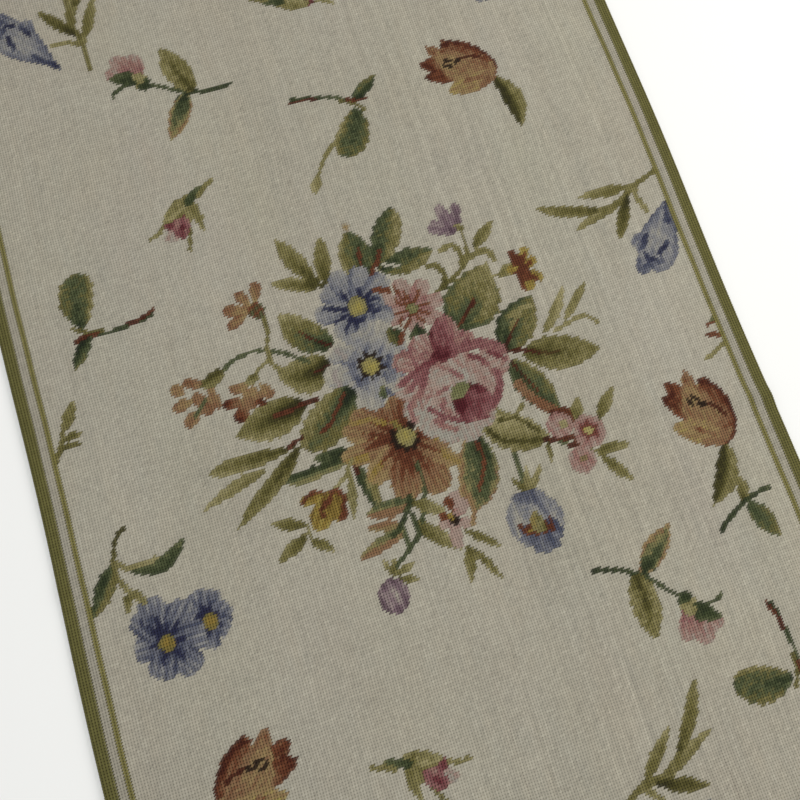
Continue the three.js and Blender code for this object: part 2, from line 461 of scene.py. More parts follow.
def upper_right_sprays(chart):
    """The mauve flower, the rust star and the pale blades at the upper right."""
    chart.stem([(44.2, 61), (44.2, 53), (42, 46.5), (36, 41.5), (29, 38.5), (25.5, 36)],
               1.7, OLIVES, 0.7, 0.3)
    chart.stem([(34, 53), (38.5, 54), (41, 50), (40, 44.5)], 2.4, OLIVES, 0.7, 0.5)
    chart.stem([(26.5, 48), (30.5, 47), (31.5, 42.5), (30, 38)], 2.4, OLIVES, 0.6, 0.3)
    chart.leaf((46.5, 50.5), (57.5, 60), 4.6, OLIVES, left=0.6, right=0.75)
    chart.stem([(44, 47), (48, 48.5), (51.5, 48), (53, 44)], 2.6, OLIVES, 0.6, 0.7)
    chart.petal((42.5, 59), (32, 64), 5.8, PLUMS, 0.15, 0.6, streak=0.16)
    chart.petal((41.5, 58.5), (38, 71.5), 5.2, PLUMS, 0.1, 0.7, streak=0.16)
    chart.petal((43, 59), (45, 70.8), 3.8, PLUMS, 0.2, 0.4, streak=0.16, right=-0.2)
    chart.leaf((45.2, 59), (42.3, 62.3), 2.8, OLIVES, left=0.7, right=0.8)
    chart.stem([(49, 37.5), (54, 37.5), (58, 39)], 1.5, OLIVES, 0.8, 0.9)
    chart.leaf((52, 36.5), (60, 41), 4.2, PALE_OLIVES, left=0.3, right=0.4)
    chart.flower((62, 37), ((66.2, 46), (68.8, 40.5), (68.6, 31), (62.6, 28), (56, 38.5)), 3.6, HEARTS,
                 start=0.5, end=0.85, left=-0.15)
    for points, width in (
        (((60.2, 45.3), (60.2, 40)), 2.2), (((62, 42.5), (62.8, 37), (62.4, 33.5)), 3.2),
        (((60, 35), (60, 29.2)), 2.0), (((61, 37), (58.6, 36.5)), 1.5), (((64, 38.5), (66, 39)), 1.6),
        (((63.5, 34.5), (66, 32)), 1.8), (((60.5, 40), (59.5, 42)), 1.8), (((64, 41), (65.2, 43)), 1.4),
    ):
        chart.stem(points, width, VEIN, 0.7, 0.95)
    chart.leaf((61, 10), (75, 27), 4, PALE_OLIVES, bend=1.4, left=0.3, right=0.45, fade=0.5, spine=0)
    chart.leaf((71, 12.5), (84, 25), 3.8, PALE_OLIVES, left=0.25, right=0.3, fade=-0.1, spine=0)
    chart.stem([(66, 9.5), (73, 11.5), (79, 12), (83, 8)], 1.8, PALE_OLIVES, 0.5, 0.2)


def blue_daisies(chart):
    """The two blue daisies and the pink one beside them."""
    chart.flower((15.3, 33.3), (
        (4, 40), (13.3, 46), (23.5, 43.2), (28, 34.3), (24.5, 25.5), (14.5, 21), (3.5, 30.5),
    ), 6.6, PINKS, start=0.4, end=0.8, left=-0.2, right=0.1)
    for points, width in (
        (((11.4, 43.5), (12.3, 38.5), (15, 34)), 1.3), (((14.5, 40), (15.3, 34)), 1.2),
        (((20, 39.5), (15.3, 33.5)), 1.5), (((22, 33.2), (16, 33.3)), 1.1), (((21, 29.5), (15.5, 33)), 1.4),
        (((18.5, 27), (16, 29.5), (15.3, 33)), 1.2), (((10.5, 26), (12.5, 28.5), (14.5, 32)), 1.3),
        (((8.2, 32.4), (15, 33)), 1.1), (((9.2, 28), (10, 30)), 1.3),
        (((10.5, 38.5), (11, 36.5), (15, 33.5)), 1.2),
    ):
        chart.stem(points, width, ["rust dark", "rust", "clay"], 0.6, 0.4)
    chart.disc((15.3, 33.1), 2.1, ["olive", "sage", "olive light"], 0.9, 0.3)
    # The deeper one, with navy strokes round its heart.
    chart.flower((-5, 39.5), (
        (-16, 50), (-9, 55.8), (1.5, 55), (9.5, 48.5), (6, 37.5), (7, 31), (-2, 28), (-14.5, 29),
        (-21.2, 40.5),
    ), 8.2, PALE_BLUES, start=0.18, end=0.55, left=-0.35, right=0.12)
    for points, width in (
        (((-7, 39.3), (-11, 40.5), (-17, 42.7)), 1.9), (((-7, 38), (-11, 37), (-15, 36)), 1.5),
        (((-8, 36.5), (-10, 34), (-12, 31)), 1.5), (((-8, 34.5), (-5, 34), (-3, 34.8)), 2.2),
        (((-7, 35), (-7.5, 31.5)), 1.8), (((-1.5, 37.5), (1, 36), (2.5, 36.3)), 2.2),
        (((-1, 38.5), (0.5, 37.5)), 2.6), (((-1.5, 40), (2, 40.8), (4, 40.2)), 1.5),
        (((-1, 41.5), (1, 43), (3, 44.3)), 2.2), (((-3, 42.5), (-2, 44), (-2, 46.5)), 2.0),
        (((-7.5, 43), (-9, 47)), 1.3),
    ):
        chart.stem(points, width, ["navy", "navy", "blue"], 0.1, 0.8)
    chart.disc((-4.8, 39.7), 3.7, EYES, 1.0, 0.25, lean=(0, -0.1), tall=1.12)
    # The paler one lies over it. Its outer petals are nearly white, and it is blue only round its heart.
    heart = (-7, 15.7)
    for tip, width, start, end in (
        ((8.5, 20.5), 9.5, 0.3, 0.66), ((5, 9.5), 8, 0.2, 0.55), ((-1.5, 2), 8, 0.35, 0.8),
        ((2.5, 31.5), 10.5, 0.2, 0.84), ((-9.5, 30), 10, 0.2, 0.62), ((-19.5, 25.5), 9.5, 0.3, 0.78),
        ((-25, 15.5), 9.5, 0.35, 0.88), ((-16, 9), 7, 0.3, 0.65), ((-12.5, -2.5), 10.5, 0.3, 0.84),
    ):
        chart.petal(heart, tip, width, PALE_BLUES, start, end, left=-0.25, right=0.12, belly=0.68, point=0.5)
    for points, width in (
        (((-12, 9), (-13.5, 13), (-13.5, 18), (-11.5, 21.5)), 3.0), (((-13, 18), (-18, 20.5)), 1.5),
        (((-10.5, 12), (-11, 8)), 2.2), (((-2, 20), (0.5, 22)), 1.6), (((-1, 14), (1, 12), (0.5, 10)), 2.6),
        (((-3, 11), (-2, 7.5)), 1.8), (((0, 17), (3, 16.5)), 1.8), (((-6.5, 22), (-5.5, 24.5)), 1.5),
    ):
        chart.stem(points, width, PALE_BLUES, 0.1, 0.35)
    chart.stem([(-20, 12), (-21.5, 15), (-20, 18)], 2.2, ["lilac", "pearl"], 0.3, 0.8)
    chart.stem([(-15, 22), (-17.5, 25)], 2.0, ["lilac", "pearl"], 0.4, 0.8)
    chart.rays(heart, (
        (-7.5, 22.5), (-3.5, 21), (-1, 18), (-1.5, 13.5), (-4.5, 10.5), (-8, 10), (-12, 11.5), (-13, 17),
        (-11.5, 20),
    ), 2.5, ["umber"])
    chart.disc(heart, 4.1, ["umber"])
    chart.disc(heart, 3.3, EYES, 0.9, 0.6, lean=(0, -0.15))


def small_calyxes(chart):
    """The leaf bits between the daisies and the rose."""
    chart.leaf((7, 20), (4, 28), 6, ["rust", "green dark", "olive"], left=0.9, right=0.5)
    chart.stem([(7, 21), (8.5, 24)], 2, ["rust"])
    chart.leaf((15, 27), (14.5, 19.5), 7, GREENS, left=0.3, right=0.4, belly=0.75)
    chart.stem([(4, 44), (9, 42.5)], 2.4, ["rust"])
    chart.leaf((-6, 2), (-5, 7), 3, GREENS)
    chart.stem([(-3.8, 5), (-2.2, 2.4)], 1.7, ["blue", "blue grey"])


def rust_anemone(chart):
    """The big rust flower at the lower left of the bouquet's middle."""
    heart = (-2, -14.5)
    for tip, width, start, end, left, right in (
        ((-8.5, -1), 8, 0.4, 0.5, 0, 0), ((-2, 2.3), 9.5, 0.25, 0.6, 0.1, -0.35),
        ((-19, 0), 8.5, 0.4, 0.75, 0, -0.1), ((-24, -5.5), 8.5, 0.4, 0.85, 0.2, 0),
        ((-27, -16), 8.5, 0.4, 0.9, 0, 0.15), ((-19.5, -27), 9, 0.4, 1.0, 0.1, 0.1),
        ((-8.5, -37), 12.5, 0.3, 0.72, 0.1, 0), ((6, -38), 12.5, 0.3, 0.72, 0, 0.1),
        ((14, -29.5), 6.5, 0.5, 1.0, 0, 0), ((16.5, -19), 9, 0.4, 0.85, 0, 0.1),
    ):
        chart.petal(heart, tip, width, RUSTS, start, end, left, right, rim=0.06, streak=0.13)
    # Gold runs into the pale tips.
    for points in (
        ((-20, -3.5), (-13, -4.5), (-8, -7)), ((-25.5, -17.5), (-18, -17.5)), ((-19, -25.5), (-14, -21.5)),
        ((13.5, -29), (9, -23.5)), ((15, -20.5), (9, -18)),
    ):
        chart.stem(points, 2.2, ["clay", "gold", "buff"], 0.7, 0.6)
    chart.rays(heart, (
        (-16, -11.5), (-20, -14), (-14, -21.5), (-8.5, -31), (-4, -30), (3, -31), (8.5, -24), (11.5, -17.5),
        (-1, 1), (0, -3), (-13, -5.5), (-17, -8.5), (-11, -25), (0, -25), (-5.5, -23),
    ), 2.1, VEIN, 0.5, 1.0)
    for tip in ((-7.5, -10.5), (-8, -14.5), (-7, -18), (-3.5, -20), (0, -20), (3, -18)):
        chart.petal(heart, tip, 2.2, ["umber"])
    chart.disc(heart, 4.3, ["umber"], tall=0.95)
    chart.disc((-1.7, -14.2), 3.6, EYES, 0.9, 0.5, lean=(-0.1, 0.1))
    chart.disc((1.3, -10.8), 1.9, ["umber"])
    chart.leaf((-3, -11), (-5.5, -6.5), 2.4, HEARTS, 0.5, 0.5, spine=0)


def big_rose(chart):
    """The rose: an open bowl of petals round a burgundy heart."""
    # The pale outer petals, left and below.
    for tip, width, start, end in (
        ((0.5, -8), 12, 0.8, 0.9), ((6, -17), 11, 0.9, 0.98), ((13, -21.5), 12, 0.85, 1.0),
        ((22, -23), 12, 0.8, 1.0), ((-1, 4), 11, 0.7, 0.85), ((31, -18.5), 10, 0.5, 0.9),
    ):
        chart.petal((20, 0), tip, width, ROSES, start, end, left=-0.1, streak=0.11)
    # The two small petals at the upper left, and the turned one at the top.
    chart.petal((15, 9), (1.5, 15), 8.5, ROSES, 0.55, 0.75, left=-0.12, right=-0.1, streak=0.12)
    chart.petal((18, 9), (12.5, 22), 9.5, ROSES, 0.5, 0.75, left=-0.12, streak=0.12)
    chart.petal((26, 11), (33.5, 18.5), 7, ROSES, 0.42, 0.6, streak=0.1)
    chart.petal((21, 9.5), (26.5, 27.5), 12, ROSES, 0.25, 0.5, left=-0.2, right=0.22, point=0.72, belly=0.5,
                streak=0.1)
    # The bowl, pale inside, and the petal whose lip folds over its top.
    chart.petal((29, 0), (44, 7), 12.5, ROSES, 0.85, 0.7, streak=0.1)
    chart.petal((20, 0), (15, 11), 11, ROSES, 0.85, 0.72, streak=0.1)
    chart.disc((25.5, -2.4), 13.6, ROSES, 0.88, 0.74, tall=1.02, lean=(-0.05, 0.05), streak=0.06)
    chart.stem([(20, 11.5), (26, 12.8), (33, 13.2), (39, 11.3), (43, 8)], 4.6, ROSES, 0.3, 0.44)
    # Strokes along the folds of the petals: points, width, and start and end tones.
    for points, width, start, end in (
        (((1.5, 5), (7, 7.5), (13, 9.5), (19, 12)), 2.6, 0.42, 0.1),
        (((5, 2.5), (9, 5.5), (13, 8.5)), 2.6, 0.46, 0.3),
        (((8.5, 0.5), (10.5, 4), (12.5, 8)), 2.8, 0.46, 0.3), (((7, -2), (8.5, 1)), 1.6, 0.5, 0.45),
        (((2, 11.5), (2.5, 14.5), (6, 16.8), (9, 16.5)), 1.5, 0.42, 0.5),
        (((9.5, 11), (9.2, 16), (11, 20)), 1.7, 0.36, 0.55), (((13.5, 12.5), (14, 17)), 1.1, 0.45, 0.6),
        (((3.5, -2.5), (2.6, -6), (3, -9)), 1.9, 0.46, 0.55), (((6, -0.5), (4.8, -4)), 1.5, 0.5, 0.6),
        (((7.2, -3), (7, -6)), 1.5, 0.5, 0.6),
        (((10, -7), (13, -10.5), (18, -13.5), (25, -15.3), (30, -14.5)), 2.3, 0.38, 0.24),
        (((15.8, -4.5), (15, -8.5), (17, -10)), 2.0, 0.45, 0.5),
        (((14, -2), (16, -1.5), (18.5, -0.5)), 1.7, 0.5, 0.5),
        (((12, -11.5), (14, -15.5), (17, -17)), 1.7, 0.45, 0.6), (((9.8, -11), (12, -15)), 1.3, 0.5, 0.6),
        (((37.8, 0.5), (38.2, -4), (36.2, -8.5), (33.5, -11)), 3.2, 0.4, 0.28),
        (((31, 9), (33.5, 7), (35.5, 4.6)), 2.2, 0.22, 0.34),
        (((38, 8.5), (41, 6), (43.3, 4)), 1.9, 0.22, 0.3), (((35.5, 4), (37, 1)), 1.5, 0.45, 0.45),
        (((22.5, 4.6), (24.6, 2)), 1.9, 0.42, 0.5), (((17, 9), (20, 6.5), (21.5, 5.5)), 1.3, 0.5, 0.6),
        (((24, 9.5), (26, 6)), 1.3, 0.5, 0.6), (((19, 12), (20.5, 17), (24.5, 23.5)), 2.8, 0.1, 0.38),
        (((22.5, 14), (25, 18.5)), 1.5, 0.16, 0.34), (((27, 14), (29, 18), (28, 22)), 1.3, 0.36, 0.5),
    ):
        chart.stem(points, width, ROSES, start, end)
    chart.disc((20, 12), 4.3, ROSES, 0.0, 0.14, tall=0.62)
    chart.disc((26.2, -8.5), 7.7, ROSES, 0.2, 0.32, tall=0.92, lean=(0.1, -0.03), streak=0.03)
    chart.disc((21.2, -7.6), 2.8, ["burgundy"], tall=1.25)
    chart.stem([(25.5, -2.5), (29, -3), (31.5, -5.5)], 2.3, ROSES, 0.05, 0.15)
    chart.leaf((26.3, -0.8), (18.8, -5.2), 4.8, ["green", "sage", "sage pale"], 0.55, 0.45, spine=0,
               point=0.5)


def lower_sprays(chart):
    """What hangs from the bouquet: a leafy branch, a mauve bud, a gold tulip and a small pink flower."""
    # The branch with rust-tipped leaves.
    chart.stem([(-1, -25), (-0.9, -34), (-2.6, -39.5)], 1.7, GREENS, 0.4, 0.4)
    rusty = ["green dark", "green", "olive light", "clay"]
    for base, tip, width, wools, left, right in (
        ((-6.5, -38), (-24.8, -38.3), 6.6, rusty, 1.3, 0.4),
        ((-13, -44.8), (-25.6, -42.8), 3.4, rusty[2:], 0.4, 1.2),
        ((-12, -47), (-32, -52.3), 5.2, rusty, 1.2, 0.55), ((-7.5, -38), (4.2, -45), 4.8, OLIVES, 0.7, 0.66),
        ((-9, -45), (4.4, -59.5), 5.8, OLIVES, 0.7, 0.55),
        ((-21.5, -62), (-24.3, -54.5), 2.2, OLIVES, 0.7, 0.6),
        ((-20.5, -62), (-20, -55.5), 2.0, OLIVES, 0.6, 0.6),
        ((-22, -61.5), (-13, -59.8), 2.4, OLIVES, 0.7, 0.7),
        ((-21.5, -63), (-12.8, -66), 2.8, OLIVES, 0.6, 0.7),
    ):
        chart.leaf(base, tip, width, wools, left, right, fade=0.5, spine=0.1)
    chart.stem([(-7.3, -36), (-8.7, -39.4), (-11.6, -43), (-14.4, -45.9), (-17.5, -48.5)],
               2, GREENS, 0.2, 0.3)
    chart.stem([(-9, -40), (-8, -45.9), (-8.4, -50), (-11.6, -53), (-15.9, -56), (-20, -59)],
               1.8, GREENS, 0.3, 0.4)
    chart.stem([(-12.7, -45), (-13.2, -52.5)], 1.7, GREENS, 0.4, 0.5)
    chart.stem([(-4.4, -43.7), (-5.9, -46.2)], 1.5, GREENS, 0.4, 0.4)
    chart.disc((-23.9, -68.5), 5.7, PLUMS, 0.68, 0.16, streak=0.22, tall=1.08)
    # The gold tulip and its leaves.
    chart.stem([(-24, -17), (-28, -22), (-33, -25.5)], 1.6, OLIVES, 0.7, 0.8)
    chart.stem([(-45.5, -35), (-45.5, -41), (-44, -44)], 1.5, OLIVES, 0.6, 0.6)
    chart.stem([(-46, -37), (-50, -39)], 1.4, OLIVES, 0.7, 0.6)
    for base, tip, width in (
        ((-46, -34.5), (-58, -30.5), 4.2), ((-47, -38), (-59.5, -44.5), 4.6), ((-46, -40), (-39, -46.5), 3.6),
    ):
        chart.leaf(base, tip, width, OLIVES, 0.55, 0.65)
    for base, tip, width, left, right in (
        ((-34, -26.5), (-46, -25.6), 4.4, 0, -0.3), ((-35, -25.5), (-42.8, -37.5), 8.2, 0, 0),
        ((-33.5, -25.5), (-33.2, -37), 6, -0.7, 0),
    ):
        chart.petal(base, tip, width, AUTUMN, 0.62, 0.78, left, right, streak=0.14)
    for points, width in (
        (((-45, -26.4), (-42.3, -24.3), (-38.4, -24.4)), 1.7),
        (((-31.8, -25.6), (-30.6, -29), (-31.4, -33), (-33.3, -36.6)), 2),
        (((-34, -25.8), (-36, -28.5), (-39.4, -30.6), (-39.6, -33.4)), 1.9),
    ):
        chart.stem(points, width, AUTUMN, 0.2, 0.15)
    # The small pink flower and the blades under it.
    for base, tip, width, wools in (
        ((6.5, -48), (9.5, -39), 5, PINKS), ((5, -47.5), (1, -46), 3.2, RUSTS[:2]),
        ((7, -48), (12.5, -43), 4.4, PINKS), ((5, -48), (3.8, -59), 4.2, PINKS),
        ((6, -49), (12, -52.5), 3.6, PINKS), ((5, -49), (-0.5, -49.5), 2.6, PINKS),
        ((6, -46), (5.7, -39.8), 3.0, RUSTS[:2]),
    ):
        chart.petal(base, tip, width, wools, 0.6, 0.9)
    chart.stem([(13.5, -41), (14, -47), (11.5, -52.5)], 1.8, RUSTS, 0.7, 0.8)
    chart.disc((5.7, -49), 1.9, ["umber"])
    chart.disc((5, -47.4), 1.2, ["gold"])
    for base, tip, width in (
        ((8, -53.5), (18.5, -62.8), 3.2), ((7.5, -58.5), (4.3, -72), 3.8), ((9, -61.5), (15.4, -74), 2.8),
    ):
        chart.leaf(base, tip, width, OLIVES, 0.6, 0.7, fade=0.1)
    # The curl beside the blue bell.
    chart.stem([(33.5, -11.5), (35.5, -16), (40, -17.5), (44, -15)], 1.8, OLIVES, 0.7, 0.6)


def blue_bell(chart):
    """The blue bell, seen into its mouth."""
    chart.stem([(34.5, -32), (35, -38), (35.5, -46)], 2.4, GREENS, 0.4, 0.6)
    for tip, width, tone in (((30.5, -40), 2.2, 0.4), ((37.5, -37), 2.6, 0.8), ((43, -38), 2.6, 0.75)):
        chart.leaf((35.5, -47.5), tip, width, OLIVES, tone, tone, spine=0)
    chart.disc((33.9, -57), 10.5, PALE_BLUES, 0.56, 0.38, tall=0.98, streak=0.1, lean=(-0.1, -0.05))
    for left, right, low, tone in (
        (24.5, 28, -63, 0.55), (27.5, 31, -54, 0.15), (31, 34.5, -53, 0.05), (34.5, 38, -53, 0.1),
        (38, 42, -58, 0.0), (41, 44, -63, 0.3),
    ):
        middle = (left + right) / 2
        chart.petal((middle, low), ((middle + 33.8) / 2, -46), right - left, PALE_BLUES, tone + 0.35, tone,
                    left=-0.15)
    for left, low, tone in (
        (27, -66.5, 0.3), (30, -69, 0.1), (33, -70, 0.25), (36, -69.5, 0.1), (38.5, -66.5, 0.2),
    ):
        chart.petal((left + 1.5, -58), (left + 1.5, low), 4.4, PALE_BLUES, tone - 0.2, tone + 0.1, left=-0.15,
                    point=0.45)
    for points in (
        ((27.5, -57.5), (29.5, -61), (31.5, -58.5)), ((30.5, -59), (32.5, -62.5), (34.5, -59.5)),
        ((33.5, -59.5), (36, -62.5), (37.5, -58.5)), ((37, -59), (39, -62.5), (39.5, -58)),
    ):
        chart.stem(points, 1.5, VEIN, 0.8, 0.9)
    chart.leaf((34, -62.5), (34.5, -53.5), 4.6, ["olive dark", "olive", "olive light", "gold"], 0.8, 0.6,
               spine=0)
    chart.disc((31, -60.5), 1.0, ["gold"])
    chart.stem([(35.5, -57), (36.5, -61)], 1.2, OLIVES, 0.6, 0.6)


def pink_blossoms(chart):
    """The three pink blossoms at the lower right, with their rust stalks and leaves."""
    chart.stem([(54, -21), (58.5, -21.5), (61, -25), (61.5, -29)], 2.6, VEIN, 0.6, 0.9)
    chart.stem([(47.5, -29.7), (52, -31.5), (58.5, -32.5)], 2.3, VEIN, 0.4, 0.8)
    chart.stem([(52.5, -32.7), (56, -34.6)], 1.4, GREENS, 0.5, 0.6)
    chart.stem([(55.5, -35), (60, -35)], 2.0, VEIN, 0.6, 0.7)
    for base, tip, width in (
        ((62, -27), (65, -17.5), 4.4), ((69.5, -28.5), (79.8, -17.8), 4.8),
        ((64.5, -39.7), (78.3, -40.7), 4.0), ((66, -42), (74.7, -54.5), 4.2), ((48.5, -31), (47, -39), 2.0),
    ):
        chart.leaf(base, tip, width, OLIVES, 0.62, 0.72, fade=0.2)
    chart.stem([(63.5, -38.7), (66, -41.5), (68, -44.5)], 1.3, OLIVES, 0.5, 0.5)
    chart.disc((58.7, -41.3), 5.3, ROSES, 0.56, 0.76, streak=0.08)
    chart.disc((59, -41), 1.4, ["clay", "sage"], 0.5, 0.5)
    chart.disc((54.8, -26.3), 5.0, ROSES, 0.76, 0.6, streak=0.08)
    chart.disc((56.2, -26.6), 1.6, ["olive light", "olive pale"])
    chart.flower((64.7, -31.3), (
        (70.8, -31), (68.8, -36.8), (64.7, -38), (60, -35.8), (59.2, -30.5), (62, -26), (68, -26.5),
    ), 6.2, ROSES, start=0.42, end=0.74)
    chart.rays((64.7, -31.3), ((61, -32), (61.5, -28.5), (65.5, -27), (68.5, -30), (67.5, -34.5), (63, -35)),
               2.6, ["wine", "rust"])
    chart.disc((64.7, -31.3), 1.7, ["olive pale", "gold pale"])


def pink_bud(chart):
    """A pink bud that hangs in its sepals."""
    chart.stem([(0.5, 4.5), (-6, -0.5), (-9, -3.5), (-13, -5)], 1.7, OLIVES, 0.6, 0.75)
    chart.leaf((6, 8), (8.3, -7), 3.8, OLIVES, 0.65, 0.8, fade=0.1)
    chart.stem([(3, -1), (2.4, -7), (1, -13)], 1.7, OLIVES, 0.5, 0.55)
    for tip, width, start, end in (
        ((-6, -8), 5.5, 0.75, 0.9), ((-6, -2), 4.5, 0.6, 0.2), ((-1, -7.5), 6, 0.7, 0.3),
        ((2, -4), 4, 0.5, 0.4),
    ):
        chart.petal((2, 4), tip, width, ROSES, start, end, streak=0.1)
    chart.stem([(-5.2, 1.5), (-4, -0.5)], 2.2, ROSES, 0.2, 0.2)
    chart.stem([(3.2, 2.2), (2.6, -1)], 2.4, ROSES, 0.2, 0.45)
    chart.stem([(0.5, -3), (-1.5, -5.5)], 2, ROSES, 0.2, 0.3)
    chart.leaf((7, 9), (-6, 0.5), 6.4, OLIVES, 0.62, 0.7, fade=0.2, spine=0)
    chart.leaf((6.5, 8), (4, -2), 4.2, OLIVES, 0.6, 0.7, spine=0)
    chart.stem([(3, 5), (-1, 2.5), (-4, 1.5)], 1.6, OLIVES, 0.85, 0.9)
    chart.stem([(11.5, 10.5), (8.5, 9.5), (5, 6.5)], 3.2, GREENS, 0.55, 0.25)
    chart.stem([(16, 13), (12.5, 11), (10, 8)], 2, OLIVES, 0.6, 0.6)


def dark_twig(chart):
    """A dark leaf over a rust-tipped twig."""
    chart.leaf((-6, 0.5), (-2, 22.8), 13, MIXED_GREENS, left=0.52, right=0.52, fade=-0.1, spine=0.4, ribs=0.1,
               point=0.6, belly=0.6, bend=-1.4, edges=(0.1, 0.3))
    chart.leaf((-4, -2.4), (-12.5, -14.8), 5, MIXED_GREENS, left=0.45, right=0.1, fade=0.4, spine=0)
    chart.stem([(-2, -2.4), (1, -3.2), (5, -3.3), (10, -2.8), (15, -2.3), (20.5, -1)],
               1.6, GREENS, 0.35, 0.25)
    chart.stem([(-9.5, 1.3), (-6.5, -0.5), (-2.5, -1.7), (1, -2)], 1.6, OLIVES, 0.5, 0.4)
    chart.stem([(-9.5, -4), (-5.5, -2.6), (-1.5, -2.8)], 1.8, VEIN, 0.6, 0.8)
    chart.stem([(10.8, -1.8), (14, -1.8), (17.9, -0.6), (21, 0.8)], 1.6, VEIN, 0.5, 0.7)


def blue_tulip(chart):
    """A blue tulip under its olive leaves."""
    chart.leaf((-3, 9.5), (-24, 4), 4, PALE_OLIVES, 0.2, 0.35, bend=1, spine=0)
    chart.leaf((-9, 10), (-36, 17.5), 5, OLIVES, 0.62, 0.55, bend=-1.4, belly=0.55)
    chart.stem([(3, 15.5), (0, 12), (-5, 10), (-11, 10)], 3, OLIVES, 0.45, 0.6)
    chart.leaf((3, 16), (-18, 17.5), 4.4, PALE_OLIVES, 0.1, 0.3, fade=0.4)
    chart.leaf((1.5, 12.5), (-8, -4), 5, DEEP_OLIVES, 0.6, 0.65, fade=0.4, spine=0.5, belly=0.5)
    chart.stem([(5.5, 16), (5, 10), (7, 4)], 2.3, OLIVES, 0.65, 0.8)
    chart.stem([(16, 20), (9, 17), (2, 15.5)], 2.2, OLIVES, 0.5, 0.6)
    for base, tip, width, start, end in (
        ((4, -8), (-5, -20.5), 7, 0.5, 0.4), ((6, -8), (10, -19), 7.5, 0.6, 0.7),
        ((4, -5), (-3.6, -9), 6, 0.5, 0.6),
    ):
        chart.petal(base, tip, width, BLUES, start, end, streak=0.1)
    chart.petal((17.2, 8), (0, -21), 16.2, BLUES, 0.5, 1.0, rim=-0.45, streak=0.07, belly=0.7, point=0.92)
    for points, width, tone in (
        (((17, 7.5), (15.5, 4), (14.2, 0.5), (13, -2.5)), 2.4, 0.1), (((3, -6), (-0.7, -10.2)), 2.2, 0.05),
        (((-0.7, -13), (0, -16), (2.5, -16.5)), 2.0, 0.05), (((5, -14.5), (10, -11.3)), 2.2, 0.05),
        (((-2.5, -18), (1, -18.5), (5, -17.5)), 2.2, 0.25),
    ):
        chart.stem(points, width, BLUES, tone, tone + 0.15)


def orange_tulip(chart):
    """An open orange tulip, and the leaf below it."""
    chart.leaf((5, -13), (-9, -34.5), 8.5, DEEP_OLIVES, left=0.85, right=0.1, fade=0.1, bend=-3, spine=0)
    for base, tip, width, start, end, left, right in (
        ((7, -13), (6.5, 13.5), 12, 0.6, 0.25, 0.1, -0.7), ((-1, 1), (-8.5, 15.5), 8, 0.55, 0.1, 0, 0),
        ((0, -2), (-12.5, 10), 8, 0.6, 0.0, 0, 0), ((0, 2), (0.3, 17.5), 6.5, 0.7, 0.4, 0, 0),
        ((5, -14), (-1, 12), 18, 0.48, 0.7, 0, -0.4), ((5, -11), (-12.5, -2), 9.5, 0.64, 0.8, 0, 0),
    ):
        chart.petal(base, tip, width, RUSTY_GOLDS, start, end, left, right, streak=0.08, belly=0.42,
                    point=0.72)
    for points, width, wools, tone in (
        (((-2, -11.5), (5, -12), (9, -9)), 2.6, RUSTY_GOLDS, 0.45),
        (((-4, -5), (-1, -7), (2, -10)), 1.8, RUSTY_GOLDS, 0.4),
        (((4.5, 12), (9, 8.5), (12, 3)), 1.8, RUSTY_GOLDS, 0.0),
        (((-11.5, 9.3), (-7.5, 9), (-7, 14.5)), 1.4, RUSTY_GOLDS, 0.0),
        (((-3, 6.5), (-1.5, 3.5)), 1.5, ["umber"], 0), (((-1, 7.2), (1, 5)), 1.5, ["umber"], 0),
        (((0.8, 3.2), (3.2, 3)), 1.5, ["umber"], 0), (((4.5, 2.3), (7, 0), (9, -3)), 1.5, VEIN, 0.4),
    ):
        chart.stem(points, width, wools, tone, tone + 0.1)


def sprig_tips(chart):
    """The sprigs whose tips alone show at the photograph's edges, finished with plain stalks."""
    chart.stem([(124.3, -6), (127.5, -5.5)], 1.2, VEIN, 0.9, 1.0)
    chart.stem([(126, -4.8), (127.5, -3.4)], 1.3, ["green", "sage"], 0.5, 0.5)
    chart.stem([(123.2, -9.9), (127.5, -10.8)], 2.2, VEIN, 0.8, 1.0)
    chart.stem([(118.8, -18.4), (123, -17), (127.5, -14.5)], 1.9, PALE_OLIVES, 0.4, 0.2)
    chart.leaf((112, -74.5), (119, -90), 7.5, MIXED_GREENS, 0.6, 0.45)
    chart.leaf((111, -75), (113.5, -65), 4, OLIVES, 0.6, 0.7)
    chart.stem([(98.5, -82.5), (101, -80), (108, -76), (115, -73), (122, -72)], 1.9, GREENS, 0.2, 0.3)
    chart.leaf((-3, 97), (-6.3, 88.8), 4, PALE_OLIVES, 0.4, 0.6)
    chart.leaf((-121.5, 24), (-115.2, 34.5), 4.4, OLIVES, 0.6, 0.65)
    chart.leaf((-123, 20.5), (-115.3, 21.7), 2.8, OLIVES, 0.55, 0.55)
    chart.leaf((-123.5, 18.5), (-116.4, 17.4), 2.4, OLIVES, 0.55, 0.55)
    chart.stem([(-127.5, 12), (-124, 18), (-121, 26)], 1.9, OLIVES, 0.4, 0.6)
    chart.stem([(-3, 96), (1, 103), (8, 110)], 1.7, PALE_OLIVES, 0.2, 0.3)


